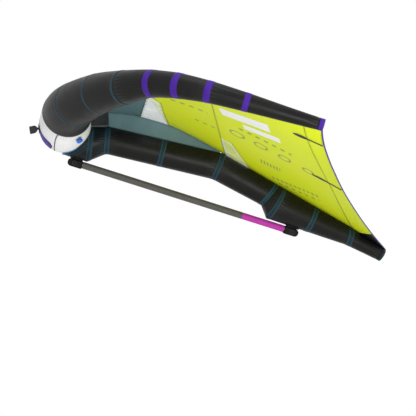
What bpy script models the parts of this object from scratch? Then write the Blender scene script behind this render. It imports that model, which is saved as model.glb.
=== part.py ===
"""Wingfoil wing with its boom, modelled in its own frame.

X runs along the span with port at +X, Y runs aft and Z runs up. The origin is the middle of the boom's
grips, where the hands hold the wing. The leading edge and the strut are lofted tubes, the canopy is a
sheet of cross lines that run from the middle plane out to the leading edge, and the boom is turned.
"""
import math

import bmesh
import bpy
import numpy as np
from mathutils import Matrix, Vector

# Clearances between neighbouring pieces
SEAM_GAP = 0.0003
RUNNING_GAP = 0.0005
OVERRUN = 0.004
MERGE_DISTANCE = 0.000001
SMOOTH_ANGLE = math.radians(40.0)
BEVEL_ANGLE = math.radians(50.0)

# Boom: a round tube with two grips and a fitting at each end
GRIP_RADIUS = 0.0165
TUBE_RADIUS = 0.0145
TUBE_BORE_RADIUS = 0.0130
GRIP_HALF_LENGTH = 0.507
GRIP_SPLIT = 0.294
TUBE_ENGAGEMENT = 0.025
BOOM_SIDES = 24
FITTING_TOP = 0.0165
FITTING_DEPTH = 0.0370
FITTING_WIDTH = 0.0350
FITTING_NOSE_RADIUS = 0.0175
FITTING_BEVEL = 0.0050
FITTING_NOSE_POINT_COUNT = 8
POCKET_LENGTH = 0.0260
POCKET_WIDTH = 0.0140
POCKET_DEPTH = 0.0200
POCKET_WALL = 0.0060
FITTING_END_LENGTH = 0.0190

# Leading edge: an inflated tube from tip to tip
HALF_SPAN = 1.000
NOSE_OVERHANG = 0.133
NOSE_HEIGHT = 0.1455
EDGE_SWEEP_LENGTH = 1.008
EDGE_RISE_HEIGHT = 0.3565
EDGE_RADIUS = 0.1212
SLEEVE_WALL = 0.0015
TIP_CAP_LENGTH = 0.021
EDGE_SIDES = 20
STATION_RING_COUNT = 2
RING_MARGIN_SHARE = 0.2
# Each station: out along the half span, back along the sweep, up the rise, share of the radius
EDGE_STATION_SHARES = (
    (0.000, 0.000, 0.000, 1.000),
    (0.160, -0.007, 0.194, 0.948),
    (0.300, 0.020, 0.343, 0.856),
    (0.500, 0.107, 0.569, 0.729),
    (0.665, 0.204, 0.734, 0.597),
    (0.775, 0.291, 0.853, 0.483),
    (0.865, 0.396, 0.923, 0.441),
    (0.930, 0.524, 0.962, 0.377),
    (0.965, 0.677, 0.978, 0.322),
    (0.985, 0.839, 0.988, 0.258),
    (1.000, 1.000, 1.000, 0.205),
)
LAST_STATION = len(EDGE_STATION_SHARES) - 1
# Stations where one sewn sleeve ends and the next begins, outboard of the white centre sleeve
SLEEVE_ENDS = (1, 2, 4, 7)

# Strut: an inflated tube of kinked lengths, given by the top and bottom corner of each ring
STRUT_LENGTH = 1.610
STRUT_OVERHANG = 0.105
STRUT_TOP = 0.255
STRUT_SIDES = 16
STRUT_WALL = 0.0015
TAIL_CAP_LENGTH = 0.018
BLADDER_SETBACK = 0.030
# Each ring: top corner back and up, bottom corner back and up
STRUT_RING_SHARES = (
    (0.010, 0.640, 0.000, 0.078),
    (0.053, 0.718, 0.0745, 0.084),
    (0.1025, 0.8235, 0.1205, 0.330),
    (0.451, 1.000, 0.444, 0.486),
    (0.638, 0.747, 0.6075, 0.300),
    (0.658, 0.720, 0.635, 0.092),
    (0.886, 0.412, 0.890, 0.069),
    (1.0115, 0.2063, 0.9975, 0.000),
)
NOSE_RING, KNEE_RING, CROWN_RING, BULGE_RING, TAPER_RING, END_RING = 0, 2, 3, 5, 6, 7

# Canopy: cross lines from the middle plane out to the leading edge
CANOPY_WALL = 0.0012
ATTACH_CLEARANCE = 0.0006
ATTACH_ANGLE_NOSE = math.radians(38.0)
ATTACH_ANGLE_TIP = math.radians(78.0)
TRAILING_SAG_HEIGHT = 0.055
ROOT_CROWN_HEIGHT = 0.062
CROSS_CELL_COUNT = 10
# Root line from the leading edge to the strut's crown: share of the way aft, share of the crown height
ROOT_SHARES = ((0.0, 0.0), (0.17, 0.58), (0.365, 0.96), (0.56, 1.0), (0.745, 0.74), (1.0, 0.16))
# Cross line along the root (share of the root's length) and the leading-edge station that it ends on
CROSS_LINE_SHARES = (
    (0.012, 0.45),
    (0.080, 3.15),
    (0.158, 4.72),
    (0.240, 5.00),
    (0.436, 6.80),
    (0.900, 9.40),
    (1.000, 9.93),
)
# How far the trailing edge sags below a straight cross line, along the line from root to tip
SAG_SHARES = (
    (0.0, 0.0),
    (0.17, 0.40),
    (0.38, 0.76),
    (0.58, 0.95),
    (0.78, 1.0),
    (0.90, 0.84),
    (0.965, 0.5),
    (1.0, 0.0),
)
# Short step on the canopy that its directions are measured over
STEP_SHARE = 0.01
# Cells between the first and last cross line of each panel
FRONT_CELL_COUNT = 6
WINDOW_CELL_COUNT = 2
FORWARD_CELL_COUNT = 4
REAR_WINDOW_LINE_SHARE = 0.515
REAR_WINDOW_CELL_COUNT = 3
REAR_WINDOW_COLUMN_COUNT = 3
REAR_CELL_COUNT = 4
STRIP_CELL_COUNT = 2
TAPE_WIDTH = 0.007
TAPE_THICKNESS = 0.0024
TAPE_LAST_CELL_SHARE = 0.75

# Web between the strut and the canopy
WEB_WALL = 0.0012
WEB_PATCH_LENGTH = 0.075
WEB_LEAST_HEIGHT = 0.003

# Battens under the cloth in front of the trailing edge
BATTEN_THICKNESS = 0.003
BATTEN_WIDTH = 0.020
BATTEN_STATION_COUNT = 9
BATTEN_END_SHARE = 0.985
# Width of a batten along its length
BATTEN_WIDTH_SHARES = ((0.0, 0.2), (0.12, 0.8), (0.25, 1.0), (0.38, 0.8), (0.5, 0.25), (1.0, 0.25))
# Each batten: across at its front and at its back, cross line of its front
BATTEN_PLACE_SHARES = ((0.895, 0.912, 0.843), (0.540, 0.590, 0.845))

# Release buttons in the fittings
BUTTON_RADIUS = 0.0060
BUTTON_HEAD_LENGTH = 0.0040
BUTTON_STEM_RADIUS = 0.0030
BUTTON_TRAVEL = 0.0030
BUTTON_PROUD = 0.0015
BUTTON_SIDES = 20
SPRING_WIRE_RADIUS = 0.0004
SPRING_TURN_COUNT = 3
SPRING_TURN_POINT_COUNT = 10

# Clip bases on the strut, each with a post that drops into a fitting
CLIP_WIDTH = 0.0300
CLIP_CLEAR_OF_NOSE = 0.0050
CLIP_TOP = 0.0235
CLIP_PAD_BEVEL = 0.0015
POST_CLEARANCE = 0.0008
POST_LENGTH = 0.0125

# Front handle on the nose
PATCH_FIRST_SIDE = 11
PATCH_LAST_SIDE = 16
PATCH_HALF_WIDTH = 0.055
PATCH_WALL = 0.0012
HANDLE_PLACE = 13.5
HANDLE_FACET_HALF_SHARE = 0.42
HANDLE_HALF_LENGTH = 0.041
HANDLE_GRIP_HALF_LENGTH = 0.026
HANDLE_BEND = 0.010
HANDLE_STANDOFF = 0.038
HANDLE_WIDTH = 0.036
HANDLE_FOOT_WIDTH = 0.012
HANDLE_FOOT_TURNS = (math.radians(25.0), math.radians(55.0), math.radians(90.0))
STRAP_THICKNESS = 0.003
HANDLE_GRIP_THICKNESS = 0.009
HANDLE_BEND_SHARE = 0.45
ANCHOR_THICKNESS = 0.003
ANCHOR_LENGTH = 0.022

# Inflation valve on the centre sleeve, beside the strut
VALVE_SIDE = 7
VALVE_STATIONS = (0.5, 1.0)
VALVE_SEAT_GAP = 0.0010
VALVE_FLANGE_RADIUS = 0.0170
VALVE_FLANGE_THICKNESS = 0.0030
VALVE_BODY_RADIUS = 0.0120
VALVE_BODY_LENGTH = 0.0080
VALVE_BORE_RADIUS = 0.0070
VALVE_CAP_RADIUS = 0.0150
VALVE_CAP_THICKNESS = 0.0070
VALVE_PLUG_LENGTH = 0.0040
VALVE_HINGE_RADIUS = 0.0018
VALVE_HINGE_LENGTH = 0.0120
VALVE_LUG_DEPTH = 0.0050
VALVE_SIDES = 24

# Hose that lets air from the leading-edge bladder into the strut bladder
HOSE_RADIUS = 0.0080
HOSE_BORE_RADIUS = 0.0060
HOSE_HEIGHT = 0.1150
HOSE_SIDES = 16

MATERIALS = {
    "black_sleeve": ((0.028, 0.028, 0.028), 0.62, 0.0),
    "white_sleeve": ((0.84, 0.84, 0.83), 0.55, 0.0),
    "purple_tape": ((0.08, 0.03, 0.38), 0.55, 0.0),
    "lime_canopy": ((0.55, 0.68, 0.02), 0.50, 0.0),
    "slate_canopy": ((0.09, 0.15, 0.17), 0.55, 0.0),
    "window_film": ((0.74, 0.78, 0.76), 0.25, 0.0),
    "edge_tape": ((0.10, 0.08, 0.33), 0.55, 0.0),
    "batten": ((0.045, 0.05, 0.08), 0.40, 0.0),
    "bladder_film": ((0.62, 0.66, 0.66), 0.30, 0.0),
    "boom_alloy": ((0.30, 0.30, 0.31), 0.40, 1.0),
    "grey_grip": ((0.11, 0.12, 0.10), 0.80, 0.0),
    "magenta_grip": ((0.58, 0.08, 0.46), 0.75, 0.0),
    "moulded_black": ((0.012, 0.012, 0.013), 0.40, 0.0),
    "steel": ((0.55, 0.55, 0.55), 0.30, 1.0),
    "webbing": ((0.015, 0.015, 0.016), 0.75, 0.0),
    "valve_grey": ((0.10, 0.11, 0.12), 0.45, 0.0),
    "valve_blue": ((0.01, 0.10, 0.75), 0.40, 0.0),
}


def clear_scene():
    """Remove every object, so that the part starts from an empty scene."""
    for thing in list(bpy.data.objects):
        bpy.data.objects.remove(thing, do_unlink=True)


def finish_of(name):
    """Principled material of this name, made once."""
    if name in bpy.data.materials:
        return bpy.data.materials[name]
    colour, roughness, metallic = MATERIALS[name]
    material = bpy.data.materials.new(name)
    material.use_nodes = True
    shader = material.node_tree.nodes["Principled BSDF"]
    shader.inputs["Base Color"].default_value = (*colour, 1.0)
    shader.inputs["Roughness"].default_value = roughness
    shader.inputs["Metallic"].default_value = metallic
    return material


def add_object(name, points, faces, finish, smooth=True):
    """Mesh object from points and faces, with outward normals."""
    mesh = bpy.data.meshes.new(name)
    mesh.from_pydata([tuple(map(float, point)) for point in points], [], faces)
    work = bmesh.new()
    work.from_mesh(mesh)
    bmesh.ops.recalc_face_normals(work, faces=work.faces)
    work.to_mesh(mesh)
    work.free()
    mesh.materials.append(finish_of(finish))
    if smooth:
        mesh.shade_smooth()
        mesh.set_sharp_from_angle(angle=SMOOTH_ANGLE)
    thing = bpy.data.objects.new(name, mesh)
    bpy.context.scene.collection.objects.link(thing)
    return thing


def add_empty(name, place):
    """Empty that carries the pieces of a moving body, on its joint axis."""
    thing = bpy.data.objects.new(name, None)
    thing.location = place
    bpy.context.scene.collection.objects.link(thing)
    return thing


def hang_on(parent, *things):
    """Parent pieces to an empty and leave them where they are."""
    for thing in things:
        thing.parent = parent
        thing.matrix_parent_inverse = Matrix.Translation(parent.location).inverted()


def cut(thing, cutter):
    """Cut one object by another, which then goes away."""
    modifier = thing.modifiers.new("cut", "BOOLEAN")
    modifier.operation = "DIFFERENCE"
    modifier.solver = "EXACT"
    modifier.object = cutter
    cutter.hide_render = True
    cutter.display_type = "WIRE"
    settle(thing)
    bpy.data.objects.remove(cutter, do_unlink=True)


def join(thing, other):
    """Fuse another object onto this one, and remove the other."""
    modifier = thing.modifiers.new("join", "BOOLEAN")
    modifier.operation = "UNION"
    modifier.solver = "EXACT"
    modifier.object = other
    settle(thing)
    bpy.data.objects.remove(other, do_unlink=True)


def settle(thing):
    """Apply an object's modifiers to its mesh."""
    bpy.context.view_layer.update()
    graph = bpy.context.evaluated_depsgraph_get()
    mesh = bpy.data.meshes.new_from_object(thing.evaluated_get(graph))
    thing.modifiers.clear()
    thing.data = mesh


def bevel(thing, width, segments=2):
    """Round an object's sharp edges."""
    modifier = thing.modifiers.new("bevel", "BEVEL")
    modifier.width = width
    modifier.segments = segments
    modifier.limit_method = "ANGLE"
    modifier.angle_limit = BEVEL_ANGLE
    settle(thing)
    thing.data.shade_smooth()
    thing.data.set_sharp_from_angle(angle=SMOOTH_ANGLE)


def smooth_table(table, where):
    """Value of a table at a place, by a monotone cubic through its rows.

    Slopes at the inner rows are the harmonic mean of their neighbours' slopes, so nothing overshoots.
    """
    xs = np.array([row[0] for row in table], float)
    ys = np.array([row[1] for row in table], float)
    steps = np.diff(xs)
    slopes = np.diff(ys) / steps
    tangents = np.zeros(len(xs))
    tangents[0], tangents[-1] = slopes[0], slopes[-1]
    for i in range(1, len(xs) - 1):
        if slopes[i - 1] * slopes[i] > 0:
            tangents[i] = 2 * slopes[i - 1] * slopes[i] / (slopes[i - 1] + slopes[i])
    i = int(np.clip(np.searchsorted(xs, where) - 1, 0, len(steps) - 1))
    t = (where - xs[i]) / steps[i]
    keep, take = (1 + 2 * t) * (1 - t) ** 2, t * t * (3 - 2 * t)
    lead, trail = t * (1 - t) ** 2, t * t * (t - 1)
    return keep * ys[i] + take * ys[i + 1] + steps[i] * (lead * tangents[i] + trail * tangents[i + 1])


def edge_station(index):
    """Centre and radius of one station of the port half; a negative index is the starboard mirror."""
    out, back, up, size = EDGE_STATION_SHARES[abs(index)]
    side = -1.0 if index < 0 else 1.0
    return np.array(
        (
            side * out * HALF_SPAN,
            -GRIP_HALF_LENGTH - NOSE_OVERHANG + back * EDGE_SWEEP_LENGTH,
            NOSE_HEIGHT + up * EDGE_RISE_HEIGHT,
            size * EDGE_RADIUS,
        )
    )


def edge_curve(station):
    """Centre, radius and direction of the tube at any station, by a cubic through the stations."""
    i = min(int(math.floor(station)), LAST_STATION - 1)
    t = station - i
    b, c = edge_station(i), edge_station(i + 1)
    a = edge_station(i - 1)
    d = edge_station(i + 2) if i + 2 <= LAST_STATION else 2 * c - b
    place = b + 0.5 * t * (c - a + t * (2 * a - 5 * b + 4 * c - d + t * (3 * (b - c) + d - a)))
    slope = 0.5 * (c - a + t * (2 * (2 * a - 5 * b + 4 * c - d) + 3 * t * (3 * (b - c) + d - a)))
    return place[:3], float(place[3]), slope[:3]


def edge_frame(station):
    """Centre, radius, along, up and aft directions of the ring at a port station."""
    centre, radius, slope = edge_curve(station)
    along = slope / np.linalg.norm(slope)
    up = np.array((0.0, 0.0, 1.0)) - along[2] * along
    up /= np.linalg.norm(up)
    return centre, radius, along, up, np.cross(up, along)


def edge_ring(station, inset=0.0, slide=0.0):
    """Ring of points round the tube: cosine up and sine aft, moved along the tube by slide."""
    centre, radius, along, up, aft = edge_frame(station)
    turn = np.arange(EDGE_SIDES) * 2 * math.pi / EDGE_SIDES
    spoke = np.outer(np.cos(turn), up) + np.outer(np.sin(turn), aft)
    return centre + along * slide + (radius - inset) * spoke


def mirrored(points):
    """Starboard copy of port points."""
    return np.asarray(points) * (-1.0, 1.0, 1.0)


def on_side(label, rings):
    """Rings of one half in order from starboard to port, as the whole tube has them."""
    if label == "port":
        return rings
    return [mirrored(ring) for ring in rings[::-1]]


def loft_faces(rings, sides):
    """Triangles between rings of points that follow each other, all split along the same diagonal."""
    faces = []
    for i in range(rings - 1):
        for j in range(sides):
            k = (j + 1) % sides
            near, far = i * sides, (i + 1) * sides
            faces.append((near + j, near + k, far + k))
            faces.append((near + j, far + k, far + j))
    return faces


def solid_loft(name, rings, finish):
    """Closed tube through rings, with flat ends."""
    sides = len(rings[0])
    points = np.vstack(rings)
    faces = loft_faces(len(rings), sides)
    faces.append(tuple(range(sides)))
    faces.append(tuple(range(len(points) - sides, len(points))))
    return add_object(name, points, faces, finish)


def shell_loft(name, outer, inner, finish):
    """Tube wall between outer and inner rings, open at both ends."""
    sides = len(outer[0])
    count = len(outer)
    points = np.vstack(list(outer) + list(inner))
    faces = loft_faces(count, sides)
    start = count * sides
    faces += [tuple(start + corner for corner in face) for face in loft_faces(count, sides)]
    for ring in (0, count - 1):
        for j in range(sides):
            k = (j + 1) % sides
            low, high = ring * sides + j, ring * sides + k
            faces.append((low, high, start + high, start + low))
    return add_object(name, points, faces, finish)


def stations_between(first, last):
    """Stations of the rings from first to last, both included."""
    start = math.ceil(first * STATION_RING_COUNT + RING_MARGIN_SHARE)
    inner = np.arange(start, last * STATION_RING_COUNT - RING_MARGIN_SHARE)
    return [first] + [float(k) / STATION_RING_COUNT for k in inner] + [last]


def sleeve_rings(first, last, inset):
    """Rings of one sewn sleeve, shortened by half a seam gap at each end."""
    stations = stations_between(first, last)
    slides = [SEAM_GAP / 2] + [0.0] * (len(stations) - 2) + [-SEAM_GAP / 2]
    return [edge_ring(s, inset, slide) for s, slide in zip(stations, slides)]


def tip_station():
    """Station where the tip cap begins."""
    centre = edge_curve(LAST_STATION)[0]
    before = edge_curve(LAST_STATION - 1)[0]
    return LAST_STATION - TIP_CAP_LENGTH / float(np.linalg.norm(centre - before))


def make_leading_edge():
    """Centre sleeve, four sleeves and a tip cap on each side, and the bladder inside them."""
    made = []
    inner_stations = stations_between(0, SLEEVE_ENDS[0])
    port_outer = [edge_ring(s) for s in inner_stations]
    port_inner = [edge_ring(s, SLEEVE_WALL) for s in inner_stations]
    outer = [mirrored(ring) for ring in port_outer[:0:-1]] + port_outer
    inner = [mirrored(ring) for ring in port_inner[:0:-1]] + port_inner
    made.append(shell_loft("leading_edge_centre_sleeve", outer, inner, "white_sleeve"))
    ends = SLEEVE_ENDS + (tip_station(),)
    for label in ("port", "starboard"):
        for number, (first, last) in enumerate(zip(ends, ends[1:]), start=1):
            outer = on_side(label, sleeve_rings(first, last, 0.0))
            inner = on_side(label, sleeve_rings(first, last, SLEEVE_WALL))
            name = f"leading_edge_{label}_sleeve_{number}"
            made.append(shell_loft(name, outer, inner, "black_sleeve"))
        cap = on_side(label, sleeve_rings(ends[-1], LAST_STATION, 0.0))
        made.append(solid_loft(f"{label}_tip_cap", cap, "purple_tape"))
    stations = stations_between(0, tip_station())
    port = [edge_ring(s, SLEEVE_WALL + SEAM_GAP) for s in stations]
    rings = [mirrored(ring) for ring in port[:0:-1]] + port
    made.append(solid_loft("leading_edge_bladder", rings, "bladder_film"))
    return made


def strut_corners(index):
    """Top and bottom corner of one strut ring, in the middle plane."""
    top_back, top_up, low_back, low_up = STRUT_RING_SHARES[index]
    start = -GRIP_HALF_LENGTH - STRUT_OVERHANG
    top = np.array((0.0, start + top_back * STRUT_LENGTH, top_up * STRUT_TOP))
    low = np.array((0.0, start + low_back * STRUT_LENGTH, low_up * STRUT_TOP))
    return top, low


def strut_ring(top, low, inset=0.0):
    """Round ring that stands on its two corners, drawn in by an inset."""
    centre, arm = (top + low) / 2, (top - low) / 2
    size = float(np.linalg.norm(arm))
    arm = arm * (size - inset) / size
    turn = np.arange(STRUT_SIDES) * 2 * math.pi / STRUT_SIDES
    across = np.array((size - inset, 0.0, 0.0))
    return centre + np.outer(np.cos(turn), arm) + np.outer(np.sin(turn), across)


def strut_cut(index, toward, distance):
    """Corners of a ring moved along the strut's skin toward another ring by a distance."""
    top, low = strut_corners(index)
    other_top, other_low = strut_corners(toward)
    top_way, low_way = other_top - top, other_low - low
    run = (np.linalg.norm(top_way) + np.linalg.norm(low_way)) / 2
    return top + top_way * distance / run, low + low_way * distance / run


def strut_length_rings(first, last, inset):
    """Rings of one strut sleeve, shortened by half a seam gap at each end."""
    ends = [strut_cut(first, first + 1, SEAM_GAP / 2)]
    ends += [strut_corners(i) for i in range(first + 1, last)]
    ends.append(strut_cut(last, last - 1, SEAM_GAP / 2))
    return [strut_ring(top, low, inset) for top, low in ends]


def edge_cutter(clearance):
    """Closed tube a little larger than the middle of the leading edge."""
    port = [edge_ring(s, -clearance) for s in stations_between(0, SLEEVE_ENDS[1])]
    rings = [mirrored(ring) for ring in port[:0:-1]] + port
    return solid_loft("edge_cutter", rings, "black_sleeve")


def make_strut():
    """Nose, three sleeves, tail cap, bladder and the hose that feeds the bladder."""
    nose = shell_loft(
        "strut_nose_sleeve",
        strut_length_rings(NOSE_RING, KNEE_RING, 0.0),
        strut_length_rings(NOSE_RING, KNEE_RING, STRUT_WALL),
        "black_sleeve",
    )
    cut(nose, edge_cutter(SEAM_GAP))
    made = [nose]
    spans = (
        ("strut_front_sleeve", KNEE_RING, CROWN_RING),
        ("strut_middle_sleeve", CROWN_RING, BULGE_RING),
        ("strut_rear_sleeve", BULGE_RING, TAPER_RING),
    )
    for name, first, last in spans:
        outer = strut_length_rings(first, last, 0.0)
        inner = strut_length_rings(first, last, STRUT_WALL)
        made.append(shell_loft(name, outer, inner, "black_sleeve"))
    start = strut_cut(TAPER_RING, END_RING, SEAM_GAP / 2)
    stop = strut_cut(END_RING, TAPER_RING, TAIL_CAP_LENGTH + SEAM_GAP / 2)
    outer = [strut_ring(*start), strut_ring(*stop)]
    inner = [strut_ring(*start, STRUT_WALL), strut_ring(*stop, STRUT_WALL)]
    made.append(shell_loft("strut_tail_sleeve", outer, inner, "black_sleeve"))
    cap_start = strut_cut(END_RING, TAPER_RING, TAIL_CAP_LENGTH - SEAM_GAP / 2)
    cap = [strut_ring(*cap_start), strut_ring(*strut_corners(END_RING))]
    made.append(solid_loft("strut_tail_cap", cap, "moulded_black"))
    inset = STRUT_WALL + SEAM_GAP
    front = strut_cut(KNEE_RING - 1, KNEE_RING, BLADDER_SETBACK)
    rings = [strut_ring(*front, inset)]
    rings += [strut_ring(*strut_corners(i), inset) for i in range(KNEE_RING, END_RING)]
    rings.append(strut_ring(*strut_cut(END_RING, TAPER_RING, TAIL_CAP_LENGTH), inset))
    made.append(solid_loft("strut_bladder", rings, "bladder_film"))
    made.append(make_hose(front))
    return made


def turned(name, profile, sides, finish):
    """Solid turned about Z from a closed list of radius and height pairs."""
    work = bmesh.new()
    corners = [work.verts.new((radius, 0.0, height)) for radius, height in profile]
    edges = [work.edges.new(pair) for pair in zip(corners, corners[1:])]
    if all(radius > 0 for radius, _ in profile):
        edges.append(work.edges.new((corners[-1], corners[0])))
    bmesh.ops.spin(
        work,
        geom=corners + edges,
        cent=(0, 0, 0),
        axis=(0, 0, 1),
        angle=2 * math.pi,
        steps=sides,
        use_merge=True,
        use_duplicate=False,
    )
    bmesh.ops.remove_doubles(work, verts=work.verts, dist=MERGE_DISTANCE)
    points = [vertex.co.copy() for vertex in work.verts]
    faces = [tuple(vertex.index for vertex in face.verts) for face in work.faces]
    work.free()
    return add_object(name, points, faces, finish)


def tube_profile(outer, inner, low, high):
    """Profile of a plain hollow cylinder."""
    return [(outer, high), (outer, low), (inner, low), (inner, high)]


def rod_profile(radius, low, high):
    """Profile of a plain solid cylinder."""
    return [(0.0, high), (radius, high), (radius, low), (0.0, low)]


def place_along(thing, start, direction):
    """Turn a piece made along Z so that it runs along a direction from a start point."""
    turn = Vector((0, 0, 1)).rotation_difference(Vector(direction).normalized()).to_matrix().to_4x4()
    thing.data.transform(Matrix.Translation(Vector(start)) @ turn)
    return thing


def make_hose(front):
    """Short hose from the leading-edge sleeve back to the strut bladder's slanted front face."""
    top, low = front
    lean = (top[1] - low[1]) / (top[2] - low[2])
    stop = low[1] + lean * (HOSE_HEIGHT - low[2]) - HOSE_RADIUS * abs(lean) - SEAM_GAP
    start = edge_station(0)[1] + EDGE_RADIUS / 2
    profile = tube_profile(HOSE_RADIUS, HOSE_BORE_RADIUS, 0.0, stop - start)
    hose = turned("inflation_hose", profile, HOSE_SIDES, "bladder_film")
    place_along(hose, (0, start, HOSE_HEIGHT), (0, 1, 0))
    cut(hose, edge_cutter(SEAM_GAP))
    return hose


def root_height(back):
    """Height of the canopy's middle line at a distance back, before and along the strut."""
    crown_top = strut_corners(CROWN_RING)[0]
    lift = SEAM_GAP + CANOPY_WALL / 2
    if back < crown_top[1]:
        start = attach_point(0.0)
        share = (back - start[1]) / (crown_top[1] - start[1])
        base = start[2] + share * (crown_top[2] + lift - start[2])
        return base + ROOT_CROWN_HEIGHT * (smooth_table(ROOT_SHARES, share) - ROOT_SHARES[-1][1] * share)
    for index in range(CROWN_RING, END_RING):
        near, far = strut_corners(index)[0], strut_corners(index + 1)[0]
        if back <= far[1]:
            share = (back - near[1]) / (far[1] - near[1])
            return near[2] + share * (far[2] - near[2]) + lift
    return far[2] + lift


def root_span():
    """First and last distance back of the canopy's root line."""
    return attach_point(0.0)[1], strut_corners(END_RING)[0][1] - TAPE_WIDTH - SEAM_GAP


def attach_ring_point(station):
    """Point of the leading edge that the canopy meets, at a station that has a ring."""
    centre, radius, along, up, aft = edge_frame(station)
    share = station / LAST_STATION
    angle = ATTACH_ANGLE_NOSE + share * (ATTACH_ANGLE_TIP - ATTACH_ANGLE_NOSE)
    reach = radius + ATTACH_CLEARANCE + CANOPY_WALL / 2
    return centre + reach * (math.cos(angle) * up + math.sin(angle) * aft)


def attach_point(station):
    """Point on the straight run between the two rings beside a station."""
    low = math.floor(station * STATION_RING_COUNT) / STATION_RING_COUNT
    high = min(low + 1.0 / STATION_RING_COUNT, LAST_STATION)
    near, far = attach_ring_point(low), attach_ring_point(high)
    share = 0.0 if high <= low else (station - low) / (high - low)
    return near + share * (far - near)


def canopy_point(across, line):
    """Point of the port canopy: across runs from root to edge, line from nose to trailing edge."""
    start, stop = root_span()
    back = start + line * (stop - start)
    root = np.array((0.0, back, root_height(back)))
    edge = attach_point(smooth_table(CROSS_LINE_SHARES, line))
    sag = smooth_table(SAG_SHARES, across) * line**3
    drop = np.array((0.0, 0.0, -TRAILING_SAG_HEIGHT)) * sag
    return root + across * (edge - root) + drop


def canopy_normal(across, line):
    """Upward normal of the port canopy, from two short steps on it."""
    a, b = max(across - STEP_SHARE, 0.0), min(across + STEP_SHARE, 1.0)
    c, d = max(line - STEP_SHARE, CROSS_LINE_SHARES[0][0]), min(line + STEP_SHARE, 1.0)
    out = canopy_point(b, line) - canopy_point(a, line)
    aft = canopy_point(across, d) - canopy_point(across, c)
    normal = np.cross(out, aft)
    return normal / np.linalg.norm(normal)


def half_wall(across, line):
    """Half the cloth's thickness along its normal, kept in the middle plane on the root line."""
    normal = canopy_normal(across, line)
    if across > 0:
        return normal * CANOPY_WALL / 2
    flat = normal * (0.0, 1.0, 1.0)
    return flat / float(flat @ flat) * CANOPY_WALL / 2


def sheet_panel(acrosses, lines, owns):
    """Points and faces of a cloth sheet over a grid of acrosses and lines, drawn in by half a seam gap.

    owns tells from a cell's two numbers whether it belongs to this sheet.
    """
    rows, columns = len(lines), len(acrosses)
    cells = [(i, j) for i in range(rows - 1) for j in range(columns - 1) if owns(i, j)]
    owned = set(cells)
    middle = {}
    for i, j in cells:
        for corner in ((i, j), (i, j + 1), (i + 1, j), (i + 1, j + 1)):
            middle.setdefault(corner, canopy_point(acrosses[corner[1]], lines[corner[0]]))
    drawn = {}
    for (i, j), place in middle.items():
        inward = np.zeros(3)
        for di, dj in ((-1, 0), (1, 0), (0, -1), (0, 1)):
            if edge_is_open(owned, i, j, di, dj):
                continue
            neighbour = middle.get((i + di, j + dj))
            if neighbour is None:
                continue
            if not edge_is_open(owned, i, j, -di, -dj):
                continue
            way = neighbour - place
            inward += way / np.linalg.norm(way)
        drawn[(i, j)] = place + inward * SEAM_GAP / 2
    keys = sorted(drawn)
    index = {key: k for k, key in enumerate(keys)}
    up = [half_wall(acrosses[j], lines[i]) for i, j in keys]
    top = [drawn[key] + lift for key, lift in zip(keys, up)]
    low = [drawn[key] - lift for key, lift in zip(keys, up)]
    count = len(keys)
    faces = []
    for i, j in cells:
        a, b, c, d = index[(i, j)], index[(i, j + 1)], index[(i + 1, j + 1)], index[(i + 1, j)]
        faces.append((a, b, c, d))
        faces.append((a + count, d + count, c + count, b + count))
        sides = (((i - 1, j), a, b), ((i, j + 1), b, c), ((i + 1, j), c, d), ((i, j - 1), d, a))
        for beside, first, second in sides:
            if beside not in owned:
                faces.append((first, second, second + count, first + count))
    return np.array(top + low), faces


def edge_is_open(owned, i, j, di, dj):
    """True where no owned cell lies on that side of a grid corner."""
    if di:
        row = i - 1 if di < 0 else i
        return (row, j - 1) not in owned and (row, j) not in owned
    column = j - 1 if dj < 0 else j
    return (i - 1, column) not in owned and (i, column) not in owned


def line_steps(first, last, cells):
    """Evenly spaced shares from first to last."""
    return [first + (last - first) * k / cells for k in range(cells + 1)]


def line_over(ring):
    """Cross line whose root lies over a strut ring's top corner."""
    start, stop = root_span()
    return (strut_corners(ring)[0][1] - start) / (stop - start)


def panel_lines():
    """Lines of each canopy panel, by name."""
    first, _, window, forward, _, strip, last = (row[0] for row in CROSS_LINE_SHARES)
    middle, taper = line_over(CROWN_RING), line_over(TAPER_RING)
    rear_window = REAR_WINDOW_LINE_SHARE
    rear = line_steps(middle, rear_window, REAR_WINDOW_CELL_COUNT)
    rear += line_steps(rear_window, taper, REAR_CELL_COUNT)[1:] + [strip]
    return {
        "front_panel": line_steps(first, window, FRONT_CELL_COUNT),
        "front_window": line_steps(window, forward, WINDOW_CELL_COUNT),
        "forward_panel": line_steps(forward, middle, FORWARD_CELL_COUNT),
        "rear": rear,
        "trailing_strip": line_steps(strip, last, STRIP_CELL_COUNT),
    }


def make_canopy():
    """The cloth and window panels of both halves."""
    lines = panel_lines()
    acrosses = line_steps(0.0, 1.0, CROSS_CELL_COUNT)

    def everywhere(i, j):
        return True

    def in_window(i, j):
        return i < REAR_WINDOW_CELL_COUNT and j < REAR_WINDOW_COLUMN_COUNT

    def beside_window(i, j):
        return not in_window(i, j)

    panels = (
        ("front_panel", lines["front_panel"], "slate_canopy", everywhere),
        ("front_window", lines["front_window"], "window_film", everywhere),
        ("forward_panel", lines["forward_panel"], "lime_canopy", everywhere),
        ("rear_panel", lines["rear"], "lime_canopy", beside_window),
        ("rear_window", lines["rear"], "window_film", in_window),
        ("trailing_strip", lines["trailing_strip"], "lime_canopy", everywhere),
    )
    made = []
    for name, rows, finish, owns in panels:
        points, faces = sheet_panel(acrosses, rows, owns)
        made.append(add_object(f"port_{name}", points, faces, finish))
        made.append(add_object(f"starboard_{name}", mirrored(points), faces, finish))
    return made + make_trailing_tape(acrosses)


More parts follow.
